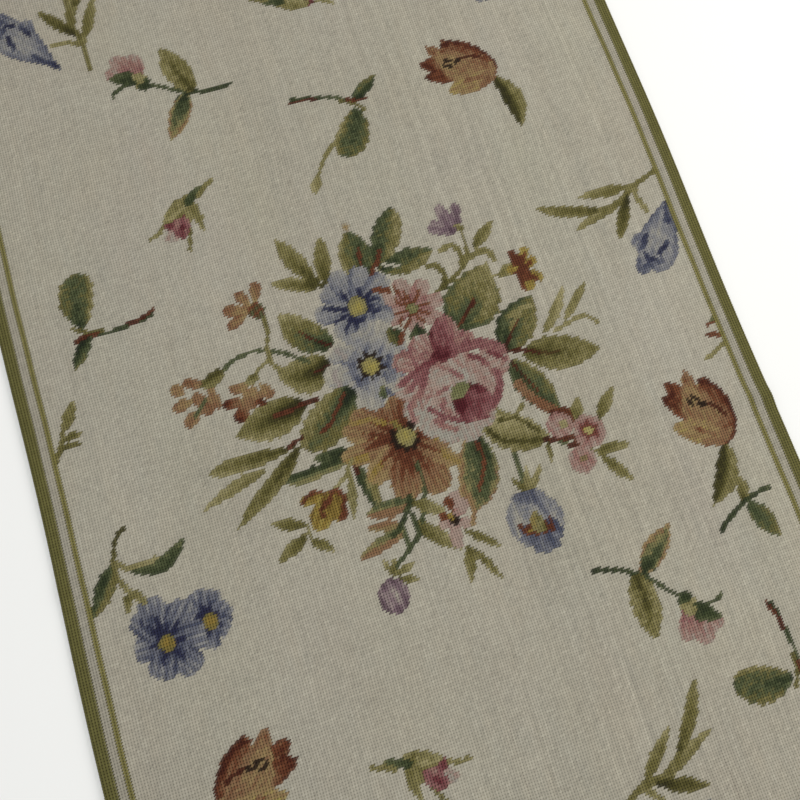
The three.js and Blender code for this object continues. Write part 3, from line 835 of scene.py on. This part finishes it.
def green_twig(chart):
    """A twig with a two-coloured leaf, an olive one, and a bud that turns down."""
    chart.stem([(-20, 11), (-16.5, 10.4), (-13, 9), (-9.4, 7.6), (-6, 5)], 1.9, GREENS, 0.15, 0.3)
    chart.stem([(-7, 5.3), (-3, 4.3), (1, 5)], 2, GREENS, 0.2, 0.2)
    chart.stem([(-4, 4.3), (0, 0), (4, -5), (7.5, -7.5)], 1.7, GREENS, 0.35, 0.35)
    chart.leaf((-3.5, 4.7), (12.5, 18.5), 8.2, TURNING_GREENS, left=0.5, right=0.4, fade=0.6, spine=0.1,
               edges=(0.6, 0.6), point=0.75)
    chart.leaf((-6, 5.5), (-7, -18.5), 10.6, OLIVES, left=0.72, right=0.68, fade=0.1, spine=0.3, point=0.75,
               ribs=0.12)
    chart.stem([(-6.2, 4), (-6, -3), (-6.5, -11)], 1.5, OLIVES, 0.15, 0.35)
    for tip, width in (((4, -23), 7), ((11, -26), 8), ((17, -22), 7)):
        chart.petal((9, -10), tip, width, ROSES, 0.35, 0.8, streak=0.1)
    chart.leaf((7, -12), (18.5, -18.5), 6, GREENS, 0.3, 0.4)
    chart.leaf((8.5, -6), (8, -15), 6, OLIVES, 0.75, 0.75, spine=0, point=0.5)
    chart.disc((8.3, -7.8), 2.5, GREENS, 0.15, 0.3, tall=0.8)
    chart.stem([(5.5, -9), (6, -9.5)], 1.8, GREENS, 0.3, 0.3)
    chart.stem([(10.5, -11.5), (15, -12.5), (19.5, -12.2), (21, -11)], 1.6, GREENS, 0.2, 0.4)


def blue_sprig(chart):
    """A leafy twig over two blue flowers."""
    chart.leaf((-10, 12), (-21, -4), 7, MIXED_GREENS, left=0.62, right=0.25, fade=0.1, spine=0)
    chart.stem([(-10, 13.5), (-9.2, 15.8), (-8.3, 18.7), (-6.3, 21.7), (-3.7, 23.6)],
               1.8, DEEP_OLIVES, 0.5, 0.15)
    chart.leaf((-8.5, 10.5), (16.3, 14), 5.8, GREENS, left=0.5, right=0.32, fade=0.1, spine=0, bend=5.4,
               belly=0.55)
    chart.stem([(-9.5, 12), (-7, 9.7), (-3, 8.6), (1, 8.8), (4.5, 9.8)], 2, PALE_OLIVES, 0.3, 0.4)
    chart.stem([(-10, 12), (-10, 7), (-8.5, 2.5), (-6, -1.5)], 2.2, OLIVES, 0.6, 0.65)
    for middle, tips, width in (
        ((17, -17), ((9, -9), (14, -5.5), (19.5, -6), (24, -12), (23, -21), (14, -26)), 8),
        ((1, -20), (
            (-10, -19), (-7, -7), (-2.5, -3), (4, -6.5), (11, -8), (15, -20), (9, -32), (-4, -31),
        ), 10),
    ):
        chart.flower(middle, tips, width, BLUES, start=0.2, end=0.62, left=-0.2, streak=0.16)
        strokes = [tuple(m + (t - m) * 0.6 for m, t in zip(middle, tip)) for tip in tips]
        chart.rays(middle, strokes, 2.2, ["navy"])
        chart.disc(middle, 2.8, HEARTS, 0.7, 0.4)
    chart.leaf((-9, 0), (-9.3, -6.5), 2.8, OLIVES, 0.7, 0.75)
    chart.leaf((-5.5, 1), (-3, -5.5), 3.2, OLIVES, 0.8, 0.8)


def border(chart):
    """The thin olive line, the guard stripe and the olive band, all round the rug."""
    inwards = np.minimum(SHAPE[1] / 2 - ROLL - np.abs(STITCH_X), SHAPE[0] / 2 - ROLL - np.abs(STITCH_Y))
    whole = (slice(None), slice(None))
    guard_end = BAND_STITCHES + GUARD_STITCHES
    for part, low, high, wools in (
        (LINE, guard_end, guard_end + LINE_STITCHES, ["line olive"]),
        (GUARD, BAND_STITCHES, guard_end, ["oatmeal"]),
        (BAND, -ROLL, BAND_STITCHES, ["band olive"]),
    ):
        chart.now = part
        chart.work(whole, (inwards > low) & (inwards < high), 0.5 + 0 * inwards, wools)


# The sprigs round the bouquet, where each stands in the photograph, then those of the two ends, which it
# doesn't show: which sprig, where its middle is, and how it is turned and mirrored.
SPRIGS_SHOWN = (
    (pink_bud, (-60, 94)), (dark_twig, (-100, 60)), (blue_tulip, (112, 42)), (orange_tulip, (108, -38)),
    (green_twig, (68, -92)), (blue_sprig, (-105, -40)), (sprig_tips, (0, 0)),
)
SPRIGS_AT_ENDS = (
    (green_twig, (-50, 150), 200, 1), (orange_tulip, (66, 128), 40, 1), (blue_sprig, (84, 186), 60, -1),
    (pink_bud, (12, 178), 130, 1), (blue_tulip, (-92, 190), 250, 1), (dark_twig, (14, 124), 160, 1),
    (pink_bud, (-30, -128), 20, -1), (dark_twig, (104, -132), 90, 1), (orange_tulip, (-88, -112), 330, -1),
    (blue_tulip, (52, -164), 40, -1), (green_twig, (-34, -176), 150, -1), (blue_sprig, (-96, -172), 90, 1),
    (pink_bud, (104, -196), 250, 1),
)


def draw():
    """The whole chart: border, sprigs, then the bouquet over them."""
    chart = Chart()
    border(chart)
    chart.now = SPRIGS
    for sprig, (x, y) in SPRIGS_SHOWN:
        chart.place((x + BOUQUET_MIDDLE[0], y))
        sprig(chart)
    for sprig, spot, turn, flip in SPRIGS_AT_ENDS:
        chart.place(spot, turn, flip)
        sprig(chart)
    chart.place()
    chart.now = BOUQUET
    for part in (
        bouquet_leaves, brown_clusters, upper_right_sprays, blue_daisies, small_calyxes, rust_anemone,
        lower_sprays, big_rose, blue_bell, pink_blossoms,
    ):
        part(chart)
    # What a sprig draws over the border is border again.
    fresh = Chart()
    border(fresh)
    edge = fresh.part >= LINE
    chart.part[edge], chart.colour[edge] = fresh.part[edge], fresh.colour[edge]
    return chart


def smooth_step(low, high, value):
    """Runs softly from 0 at low to 1 at high."""
    share = ((value - low) / (high - low)).clip(0, 1)
    return share * share * (3 - 2 * share)


def top_height(x, y):
    """The height of the cloth's face over the floor."""
    height = np.full_like(x, THICKNESS)
    for lift, wave, turn, start in WAVES:
        angle = math.radians(turn)
        height += lift * np.sin(2 * math.pi * (x * math.cos(angle) + y * math.sin(angle)) / wave + start)
    line = FOLD_AT + FOLD_LEAN * x + FOLD_BEND * x * x
    fold = FOLD_HEIGHT + FOLD_EXTRA * smooth_step(0, WIDTH / 2, x)
    return height + fold * np.exp(-(((y - line) / FOLD_HALF_WIDTH) ** 2))


def bow(share, depth, bows):
    """How far a side bows in at a share of its length, from -1 to 1."""
    return depth * np.sin(bows * math.pi * (share + 1) / 2) ** 2


def stray(waves, along, across):
    """How far a thread strays from a straight line, in metres."""
    return sum(
        far * np.sin(2 * math.pi * along / wave + slant * across + start) for far, wave, slant, start in waves
    )


def wander(u, v):
    """How far each point of the canvas strays, both ways. Its edges stay where they are."""
    inside = (1 - np.abs(u / (WIDTH / 2)).clip(0, 1) ** 6) * (1 - np.abs(v / (LENGTH / 2)).clip(0, 1) ** 6)
    return stray(STRAY_ACROSS, v, u) * inside, stray(STRAY_ALONG, u, v) * inside


def lay(u, v, lift):
    """Lays points of the flat canvas down as the rug lies: u and v are metres on the canvas from its middle,
    and lift is the height over its face. Past the edge the canvas rolls over and under."""
    u, v, lift = (np.asarray(a, float) for a in (u, v, lift))
    stray_x, stray_y = wander(u, v)
    u, v = u + stray_x, v + stray_y
    flat_u, flat_v = WIDTH / 2 - EDGE_RADIUS, LENGTH / 2 - EDGE_RADIUS
    over_u, over_v = u - u.clip(-flat_u, flat_u), v - v.clip(-flat_v, flat_v)
    over = np.hypot(over_u, over_v)
    angle = (over / EDGE_RADIUS).clip(0, math.pi * EDGE_TURN)
    radius = EDGE_RADIUS + lift
    out = radius * np.sin(angle)
    way = np.maximum(over, 1e-9)
    x = u.clip(-flat_u, flat_u) + out * over_u / way
    y = v.clip(-flat_v, flat_v) + out * over_v / way
    z = THICKNESS / 2 + (THICKNESS / 2 - EDGE_RADIUS) * np.cos(angle) + radius * np.cos(angle)
    x *= 1 - bow(y / (LENGTH / 2), SIDE_BOW, SIDE_BOWS) / (WIDTH / 2)
    y *= 1 - bow(x / (WIDTH / 2), END_BOW, END_BOWS) / (LENGTH / 2)
    return np.stack([x, y, np.maximum(z / THICKNESS * top_height(x, y), 0)], axis=-1)


# The share of a stitch's colour that is fuzz from the stitches around it.
FUZZ = 0.16

# How far the wool strays in tone: from stitch to stitch, by needleful on the ground and on the flowers, by
# column, more so on the right of the rug, by row, and by dye lot in large and in small patches. The flowers
# stray less than the ground.
STITCH_SPREAD = 0.05
GROUND_NEEDLEFUL, FLOWER_NEEDLEFUL = 0.02, 0.04
COLUMN_SPREAD, COLUMN_MORE = 0.018, 0.024
ROW_SPREAD = 0.012
LARGE_LOT, SMALL_LOT = 0.02, 0.012
FLOWER_SHARE = 0.6

# How far the ground strays in hue, and the share and tone of its dark specks.
HUE_SPREAD = 0.005
SPECK_SHARE, SPECK_TONE = 0.0006, 0.82


def stitch_colours(chart):
    """The colour of every stitch. Hand-dyed wool varies from needleful to needleful and from dye lot to dye
    lot, and the rug has yellowed and greyed unevenly."""
    padded = np.pad(chart.colour, ((1, 1), (1, 1), (0, 0)), mode="edge")
    around = (padded[2:, 1:-1] + padded[:-2, 1:-1] + padded[1:-1, 2:] + padded[1:-1, :-2]) / 4
    colours = chart.colour * (1 - FUZZ) + around * FUZZ
    ground = (chart.part == GROUND) | (chart.part == GUARD)
    needlefuls = np.where(ground, GROUND_NEEDLEFUL, FLOWER_NEEDLEFUL)
    needleful = STITCH_SPREAD * random.normal(size=SHAPE) + needlefuls * smooth_noise(4, 1)
    column = smooth_noise(90, 1) * (COLUMN_SPREAD + COLUMN_MORE * smooth_step(-60, 60, STITCH_X))
    row = ROW_SPREAD * smooth_noise(1, 60)
    dye_lot = LARGE_LOT * smooth_noise(45, 30) + SMALL_LOT * smooth_noise(12, 14)
    tone = 1 + needleful + (column + row + dye_lot) * np.where(ground, 1.0, FLOWER_SHARE)
    warm = np.where(ground, HUE_SPREAD * smooth_noise(35, 22) + HUE_SPREAD * smooth_noise(8, 3), 0)
    green = np.where(ground, HUE_SPREAD * smooth_noise(40, 18), 0)
    tint = np.stack([1 + warm, 1 + green, 1 - warm - 0.5 * green], axis=-1)
    specks = ground & (random.random(SHAPE) < SPECK_SHARE)
    return colours * tint * (tone * np.where(specks, SPECK_TONE, 1.0))[..., None]


def one_stitch():
    """A tent stitch in one square of the canvas: the strand rises from the hole at the lower left, humps over
    the crossed threads and dives into the hole at the upper right. Gives points, heights and triangles."""
    mesh = bmesh.new()
    bmesh.ops.create_grid(mesh, x_segments=2, y_segments=1, size=0.5)
    inner = [e for e in mesh.edges if len(e.link_faces) == 2]
    bmesh.ops.dissolve_edges(mesh, edges=inner, use_verts=False)
    bmesh.ops.poke(mesh, faces=mesh.faces)
    mesh.verts.index_update()
    points = np.array([v.co[:2] for v in mesh.verts])
    triangles = np.array([[v.index for v in f.verts] for f in mesh.faces])
    mesh.free()
    on_row = np.abs(points[:, 1]) > 0.25
    in_hole = on_row & (np.abs(points[:, 0]) < 0.25)
    lifts = np.where(in_hole, HOLE_LIFT, np.where(on_row, DIP_LIFT, STRAND_LIFT))
    points[:, 0] += points[:, 1]
    return points, lifts, triangles


def bake_places(rows, columns, points):
    """Where each stitch goes on the texture that the finish is baked to: blocks of the chart side by side, so
    that every stitch gets the same share of it."""
    blocks_across = SHAPE[1] // BAKE_BLOCK + 1
    block = rows // BAKE_BLOCK * blocks_across + columns // BAKE_BLOCK
    used, number = np.unique(block, return_inverse=True)
    a_side = math.ceil(math.sqrt(len(used)))
    pitch = BAKE_BLOCK + BAKE_GAP
    corner = np.stack([number % a_side, number // a_side], axis=-1) * pitch + BAKE_GAP / 2
    within = np.stack([columns % BAKE_BLOCK, rows % BAKE_BLOCK], axis=-1) + 0.5
    return ((corner + within)[:, None, :] + points[None]) / (a_side * pitch)


def dye_faces(mesh, colours):
    """Gives every face of the mesh its wool's colour."""
    dye = mesh.attributes.new("wool", "FLOAT_COLOR", "FACE")
    opaque = np.concatenate([colours, np.ones((len(colours), 1))], axis=1)
    dye.data.foreach_set("color", opaque.ravel())


def in_scene(name, data):
    """A new object in the scene, of a mesh, a lamp or a camera."""
    made = bpy.data.objects.new(name, data)
    bpy.context.scene.collection.objects.link(made)
    return made


def stitched_piece(name, inside, colours):
    """The stitches of one part of the rug, as one mesh, with each stitch's colour on its faces."""
    points, lifts, triangles = one_stitch()
    rows, columns = np.nonzero(inside)
    centres = np.stack([columns, rows], axis=-1) + 0.5
    places = centres[:, None, :] + points[None]
    # Neighbouring stitches share their corners, which lie on half squares of the canvas.
    keys = np.rint(places * 2).astype(np.int64) @ np.array([1, 4 * SHAPE[1]])
    _, first, index = np.unique(keys, return_index=True, return_inverse=True)
    flat = places.reshape(-1, 2)[first]
    middle = np.tile(np.arange(len(lifts)) == np.argmax(lifts), len(rows))[first]
    plump = np.repeat(random.normal(size=len(rows)), len(lifts))[first]
    height = np.tile(lifts, len(rows))[first] + np.where(middle, PLUMPNESS * plump, 0)
    metres = (flat - np.array(SHAPE[::-1]) / 2) * STITCH
    spots = lay(metres[:, 0], metres[:, 1], height)
    faces = index.reshape(len(rows), -1)[:, triangles].reshape(-1, 3)
    mesh = bpy.data.meshes.new(name)
    mesh.vertices.add(len(spots))
    mesh.vertices.foreach_set("co", spots.ravel())
    mesh.loops.add(faces.size)
    mesh.loops.foreach_set("vertex_index", faces.ravel())
    mesh.polygons.add(len(faces))
    mesh.polygons.foreach_set("loop_start", np.arange(0, faces.size, 3))
    mesh.update(calc_edges=True)
    mesh.shade_smooth()
    dye_faces(mesh, np.repeat(colours[rows, columns], len(triangles), axis=0))
    for layer, at in (
        ("canvas", places - np.array(SHAPE[::-1]) / 2),
        ("OFBake", bake_places(rows, columns, points)),
    ):
        mesh.uv_layers.new(name=layer).data.foreach_set("uv", at[:, triangles].ravel())
    mesh.validate()
    return in_scene(name, mesh)


def add(tree, kind, inputs=None, **settings):
    """Adds a node. An input is a value, or the node and output that it is linked from."""
    node = tree.nodes.new(kind)
    for key, value in settings.items():
        setattr(node, key, value)
    for key, value in (inputs or {}).items():
        if isinstance(value, tuple) and isinstance(value[0], bpy.types.Node):
            tree.links.new(value[0].outputs[value[1]], node.inputs[key])
        else:
            node.inputs[key].default_value = value
    return node


def new_material(name):
    """A material with an empty node tree."""
    material = bpy.data.materials.new(name)
    material.use_nodes = True
    material.node_tree.nodes.clear()
    return material, material.node_tree


# How many times over the painted shade in the gaps is deepened in the darkest wool, where ivory has it once.
DARK_WOOL_SHADE_POWER = 2.6

# How many turns the plies make across and along one stitch, and the noise's scale that draws their fibres.
PLY_TURNS = (3.2, 1.2, 0)
FIBRE_SCALE = 700.0

# The scale of the wave that draws the slanted strands on the back of the canvas.
BACK_SCALE = 1 / (STITCH * 6.3)


def stitched_wool():
    """Thick two-ply rug wool in tent stitch: matt and a little fuzzy, with painted shade where it dives into
    the holes.
    """
    material, tree = new_material("two_ply_rug_wool_in_tent_stitch")
    canvas = add(tree, "ShaderNodeUVMap", uv_map="canvas")
    # How far each point is from the nearest hole of the canvas, in stitches.
    moved = add(tree, "ShaderNodeVectorMath", {0: (canvas, 0), 1: (0.5, 0.5, 0)}, operation="ADD")
    turned = add(tree, "ShaderNodeVectorMath", {0: (moved, 0)}, operation="FRACTION")
    offset = add(tree, "ShaderNodeVectorMath", {0: (turned, 0), 1: (0.5, 0.5, 0)}, operation="SUBTRACT")
    away = add(tree, "ShaderNodeVectorMath", {0: (offset, 0)}, operation="LENGTH")
    # Painted shade in the holes, darkest at their middle.
    painted_hole_shade = add(tree, "ShaderNodeMapRange", {"Value": (away, "Value"), "From Min": 0.08, "From Max": 0.42,
                    "To Min": 0.64, "To Max": 1.0}, interpolation_type="SMOOTHSTEP")
    sides = add(tree, "ShaderNodeVectorMath", {0: (offset, 0)}, operation="ABSOLUTE")
    side = add(tree, "ShaderNodeSeparateXYZ", {0: (sides, 0)})
    # Painted shade along the grooves between the columns of stitches.
    column = add(tree, "ShaderNodeMapRange", {"Value": (side, "X"), "From Min": 0.02, "From Max": 0.3,
                 "To Min": 0.88, "To Max": 1.0}, interpolation_type="SMOOTHSTEP")
    shade = add(tree, "ShaderNodeMath", {0: (painted_hole_shade, 0), 1: (column, 0)}, operation="MULTIPLY")
    # Fibres of a tenth of a millimetre or so, drawn at 0.4 mm so that they show.
    place = add(tree, "ShaderNodeTexCoord")
    heather = add(tree, "ShaderNodeTexNoise", {"Vector": (place, "Object"), "Scale": FIBRE_SCALE,
                  "Detail": 3.0})
    mottle = add(tree, "ShaderNodeMapRange", {"Value": (heather, 0), "From Min": 0.25, "From Max": 0.75,
                 "To Min": 0.88, "To Max": 1.1})
    # Painted shade: pale wool throws light into its own gaps and dark wool doesn't, so on dark wool the
    # painted
    #     # shade in the gaps is deepened, and the wool is lifted all over to keep its mean tone, which leaves
    #     paler crowns.
    dye = add(tree, "ShaderNodeAttribute", attribute_name="wool")
    paleness = add(tree, "ShaderNodeRGBToBW", {0: (dye, "Color")})
    contrast = add(tree, "ShaderNodeMapRange", {"Value": (paleness, 0), "From Min": 0.08, "From Max": 0.33,
                   "To Min": DARK_WOOL_SHADE_POWER, "To Max": 1.0})
    gaps = add(tree, "ShaderNodeMath", {0: (shade, 0), 1: (contrast, 0)}, operation="POWER")
    painted_crown_lift = add(tree, "ShaderNodeMapRange", {"Value": (contrast, 0), "From Min": 1.0, "From Max": DARK_WOOL_SHADE_POWER,
                "To Min": 1.0, "To Max": 1.15})
    lift_and_mottle = add(tree, "ShaderNodeMath", {0: (painted_crown_lift, 0), 1: (mottle, 0)}, operation="MULTIPLY")
    # The wool's colour is scaled by the painted shade, its lift on dark wool, and the fibre mottle.
    depth = add(tree, "ShaderNodeMath", {0: (gaps, 0), 1: (lift_and_mottle, 0)}, operation="MULTIPLY")
    colour = add(tree, "ShaderNodeVectorMath", {0: (dye, "Color"), "Scale": (depth, 0)}, operation="SCALE")
    # Two plies twist round each other along the strand, about three turns to a stitch.
    strand = add(tree, "ShaderNodeVectorMath", {0: (canvas, 0), 1: PLY_TURNS}, operation="DOT_PRODUCT")
    turns = add(tree, "ShaderNodeMath", {0: (strand, "Value"), 1: 2 * math.pi}, operation="MULTIPLY")
    ply = add(tree, "ShaderNodeMath", {0: (turns, 0)}, operation="SINE")
    relief = add(tree, "ShaderNodeMath", {0: (ply, 0), 1: 0.3, 2: (heather, 0)}, operation="MULTIPLY_ADD")
    bump = add(tree, "ShaderNodeBump", {"Strength": 0.5, "Distance": 0.0004, "Height": (relief, 0)})
    surface = add(tree, "ShaderNodeBsdfPrincipled", {
        "Base Color": (colour, 0), "Normal": (bump, 0), "Roughness": 0.9, "IOR": 1.5,
        "Specular IOR Level": 0.12, "Sheen Weight": 0.04, "Sheen Roughness": 0.5,
    })
    add(tree, "ShaderNodeOutputMaterial", {"Surface": (surface, 0)})
    return material


def stitch_back():
    """The wool on the back of the canvas, flattened and dulled where it lies on the floor."""
    material, tree = new_material("wool_on_the_back_of_the_canvas")
    dye = add(tree, "ShaderNodeAttribute", attribute_name="wool")
    place = add(tree, "ShaderNodeTexCoord")
    strands = add(tree, "ShaderNodeTexWave", {"Vector": (place, "Object"), "Scale": BACK_SCALE,
                  "Distortion": 2.0, "Detail": 2.0}, bands_direction="DIAGONAL")
    # Painted shade: the strands are darker in the grooves between them, which the same wave draws in the
    # bump.
    tone = add(tree, "ShaderNodeMapRange", {"Value": (strands, "Fac"), "To Min": 0.7, "To Max": 1.0})
    colour = add(tree, "ShaderNodeVectorMath", {0: (dye, "Color"), "Scale": (tone, 0)}, operation="SCALE")
    bump = add(tree, "ShaderNodeBump", {"Strength": 0.6, "Distance": 0.0006, "Height": (strands, "Fac")})
    surface = add(tree, "ShaderNodeBsdfPrincipled", {
        "Base Color": (colour, 0), "Normal": (bump, 0), "Roughness": 0.95, "Specular IOR Level": 0.2,
    })
    add(tree, "ShaderNodeOutputMaterial", {"Surface": (surface, 0)})
    return material


def canvas_backing(colours):
    """The stitched-through canvas under the strands, one closed sheet with squares of two stitches."""
    mesh = bmesh.new()
    bmesh.ops.create_grid(mesh, x_segments=ACROSS // 2, y_segments=ALONG // 2, size=0.5)
    bmesh.ops.solidify(mesh, geom=mesh.faces[:], thickness=-0.5)
    data = bpy.data.meshes.new("canvas_backing")
    mesh.to_mesh(data)
    mesh.free()
    spots = np.zeros(len(data.vertices) * 3)
    data.vertices.foreach_get("co", spots)
    spots = spots.reshape(-1, 3)
    tall = spots[:, 2]
    upper = tall > (tall.min() + tall.max()) / 2
    flat_u = spots[:, 0] * 2 * (WIDTH / 2 - EDGE_RADIUS)
    flat_v = spots[:, 1] * 2 * (LENGTH / 2 - EDGE_RADIUS)
    laid = lay(flat_u, flat_v, np.full(len(flat_u), HOLE_LIFT - CANVAS_DEPTH))
    laid[~upper, 2] = 0
    data.vertices.foreach_set("co", laid.ravel())
    data.update()
    centres = np.zeros(len(data.polygons) * 3)
    data.polygons.foreach_get("center", centres)
    centres = centres.reshape(-1, 3)
    column = np.floor(centres[:, 0] / STITCH + SHAPE[1] / 2).astype(int).clip(0, SHAPE[1] - 1)
    row = np.floor(centres[:, 1] / STITCH + SHAPE[0] / 2).astype(int).clip(0, SHAPE[0] - 1)
    dye_faces(data, colours[row, column])
    return in_scene("canvas_backing", data)


def pale_floor():
    """A plain pale floor, matt."""
    material, tree = new_material("matt_painted_floor")
    surface = add(tree, "ShaderNodeBsdfPrincipled", {"Base Color": linear("#e6e8ea"), "Roughness": 0.8})
    add(tree, "ShaderNodeOutputMaterial", {"Surface": (surface, 0)})
    mesh = bmesh.new()
    bmesh.ops.create_grid(mesh, x_segments=1, y_segments=1, size=6)
    data = bpy.data.meshes.new("floor")
    mesh.to_mesh(data)
    mesh.free()
    data.materials.append(material)
    floor = in_scene("floor", data)


def camera():
    """The photograph's camera."""
    azimuth, elevation, roll = (math.radians(a) for a in (CAMERA_AZIMUTH, CAMERA_ELEVATION, CAMERA_ROLL))
    back = Vector((
        math.sin(azimuth) * math.cos(elevation), -math.cos(azimuth) * math.cos(elevation), math.sin(elevation)
    ))
    level = Vector((math.cos(azimuth), math.sin(azimuth), 0))
    upright = back.cross(level)
    right = level * math.cos(roll) + upright * math.sin(roll)
    above = upright * math.cos(roll) - level * math.sin(roll)
    data = bpy.data.cameras.new("camera")
    data.lens = CAMERA_LENS
    data.clip_start, data.clip_end = 0.01, 50
    eye = in_scene("camera", data)
    turned = Matrix((right, above, back)).transposed().to_4x4()
    eye.matrix_world = Matrix.Translation(CAMERA_AIM + back * CAMERA_DISTANCE) @ turned
    bpy.context.scene.camera = eye


def lights():
    """Soft studio light: a pale surround, a broad lamp above, and one low on the right that draws out the
    stitches. Each lamp has its name, place, size in metres, watts and colour."""
    world = bpy.data.worlds.new("studio")
    world.use_nodes = True
    shine = world.node_tree.nodes["Background"]
    shine.inputs["Color"].default_value = linear("#faf9f5")
    shine.inputs["Strength"].default_value = 0.6
    bpy.context.scene.world = world
    for name, place, size, power, code in (
        ("window", (2.3, 0.6, 1.7), 1.6, 42.5, "#fff9ef"),
        ("ceiling", (-0.3, -0.3, 3.0), 3.0, 41.5, "#fbfaf6"),
    ):
        data = bpy.data.lights.new(name, "AREA")
        data.size = size
        data.energy = power
        data.color = linear(code)[:3]
        lamp = in_scene(name, data)
        lamp.location = place
        lamp.rotation_euler = (-Vector(place)).to_track_quat("-Z", "Y").to_euler()


def main():
    """Sets the stage, stitches the rug and hands its pieces to the frame."""
    bpy.context.scene.view_settings.view_transform = "Standard"
    camera()
    lights()
    pale_floor()
    chart = draw()
    colours = stitch_colours(chart)
    wool, back = stitched_wool(), stitch_back()
    backing = canvas_backing(colours)
    backing.data.materials.append(back)
    strips = np.clip((STITCH_X / SHAPE[1] + 0.5) * GROUND_STRIPS, 0, GROUND_STRIPS - 1).astype(int)
    parts = {f"ground_strip_{i + 1}": (chart.part == GROUND) & (strips == i) for i in range(GROUND_STRIPS)}
    parts |= {
        "bouquet": chart.part == BOUQUET,
        "sprigs": chart.part == SPRIGS,
        "thin_olive_line": chart.part == LINE,
        "ivory_guard_stripe": chart.part == GUARD,
        "olive_edge_band": chart.part == BAND,
    }
    stitching = []
    for name, inside in parts.items():
        piece = stitched_piece(name, inside, colours)
        piece.data.materials.append(wool)
        stitching.append(piece)
    for piece in [backing, *stitching]:
        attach(piece, "root")
    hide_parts("rug")


main()
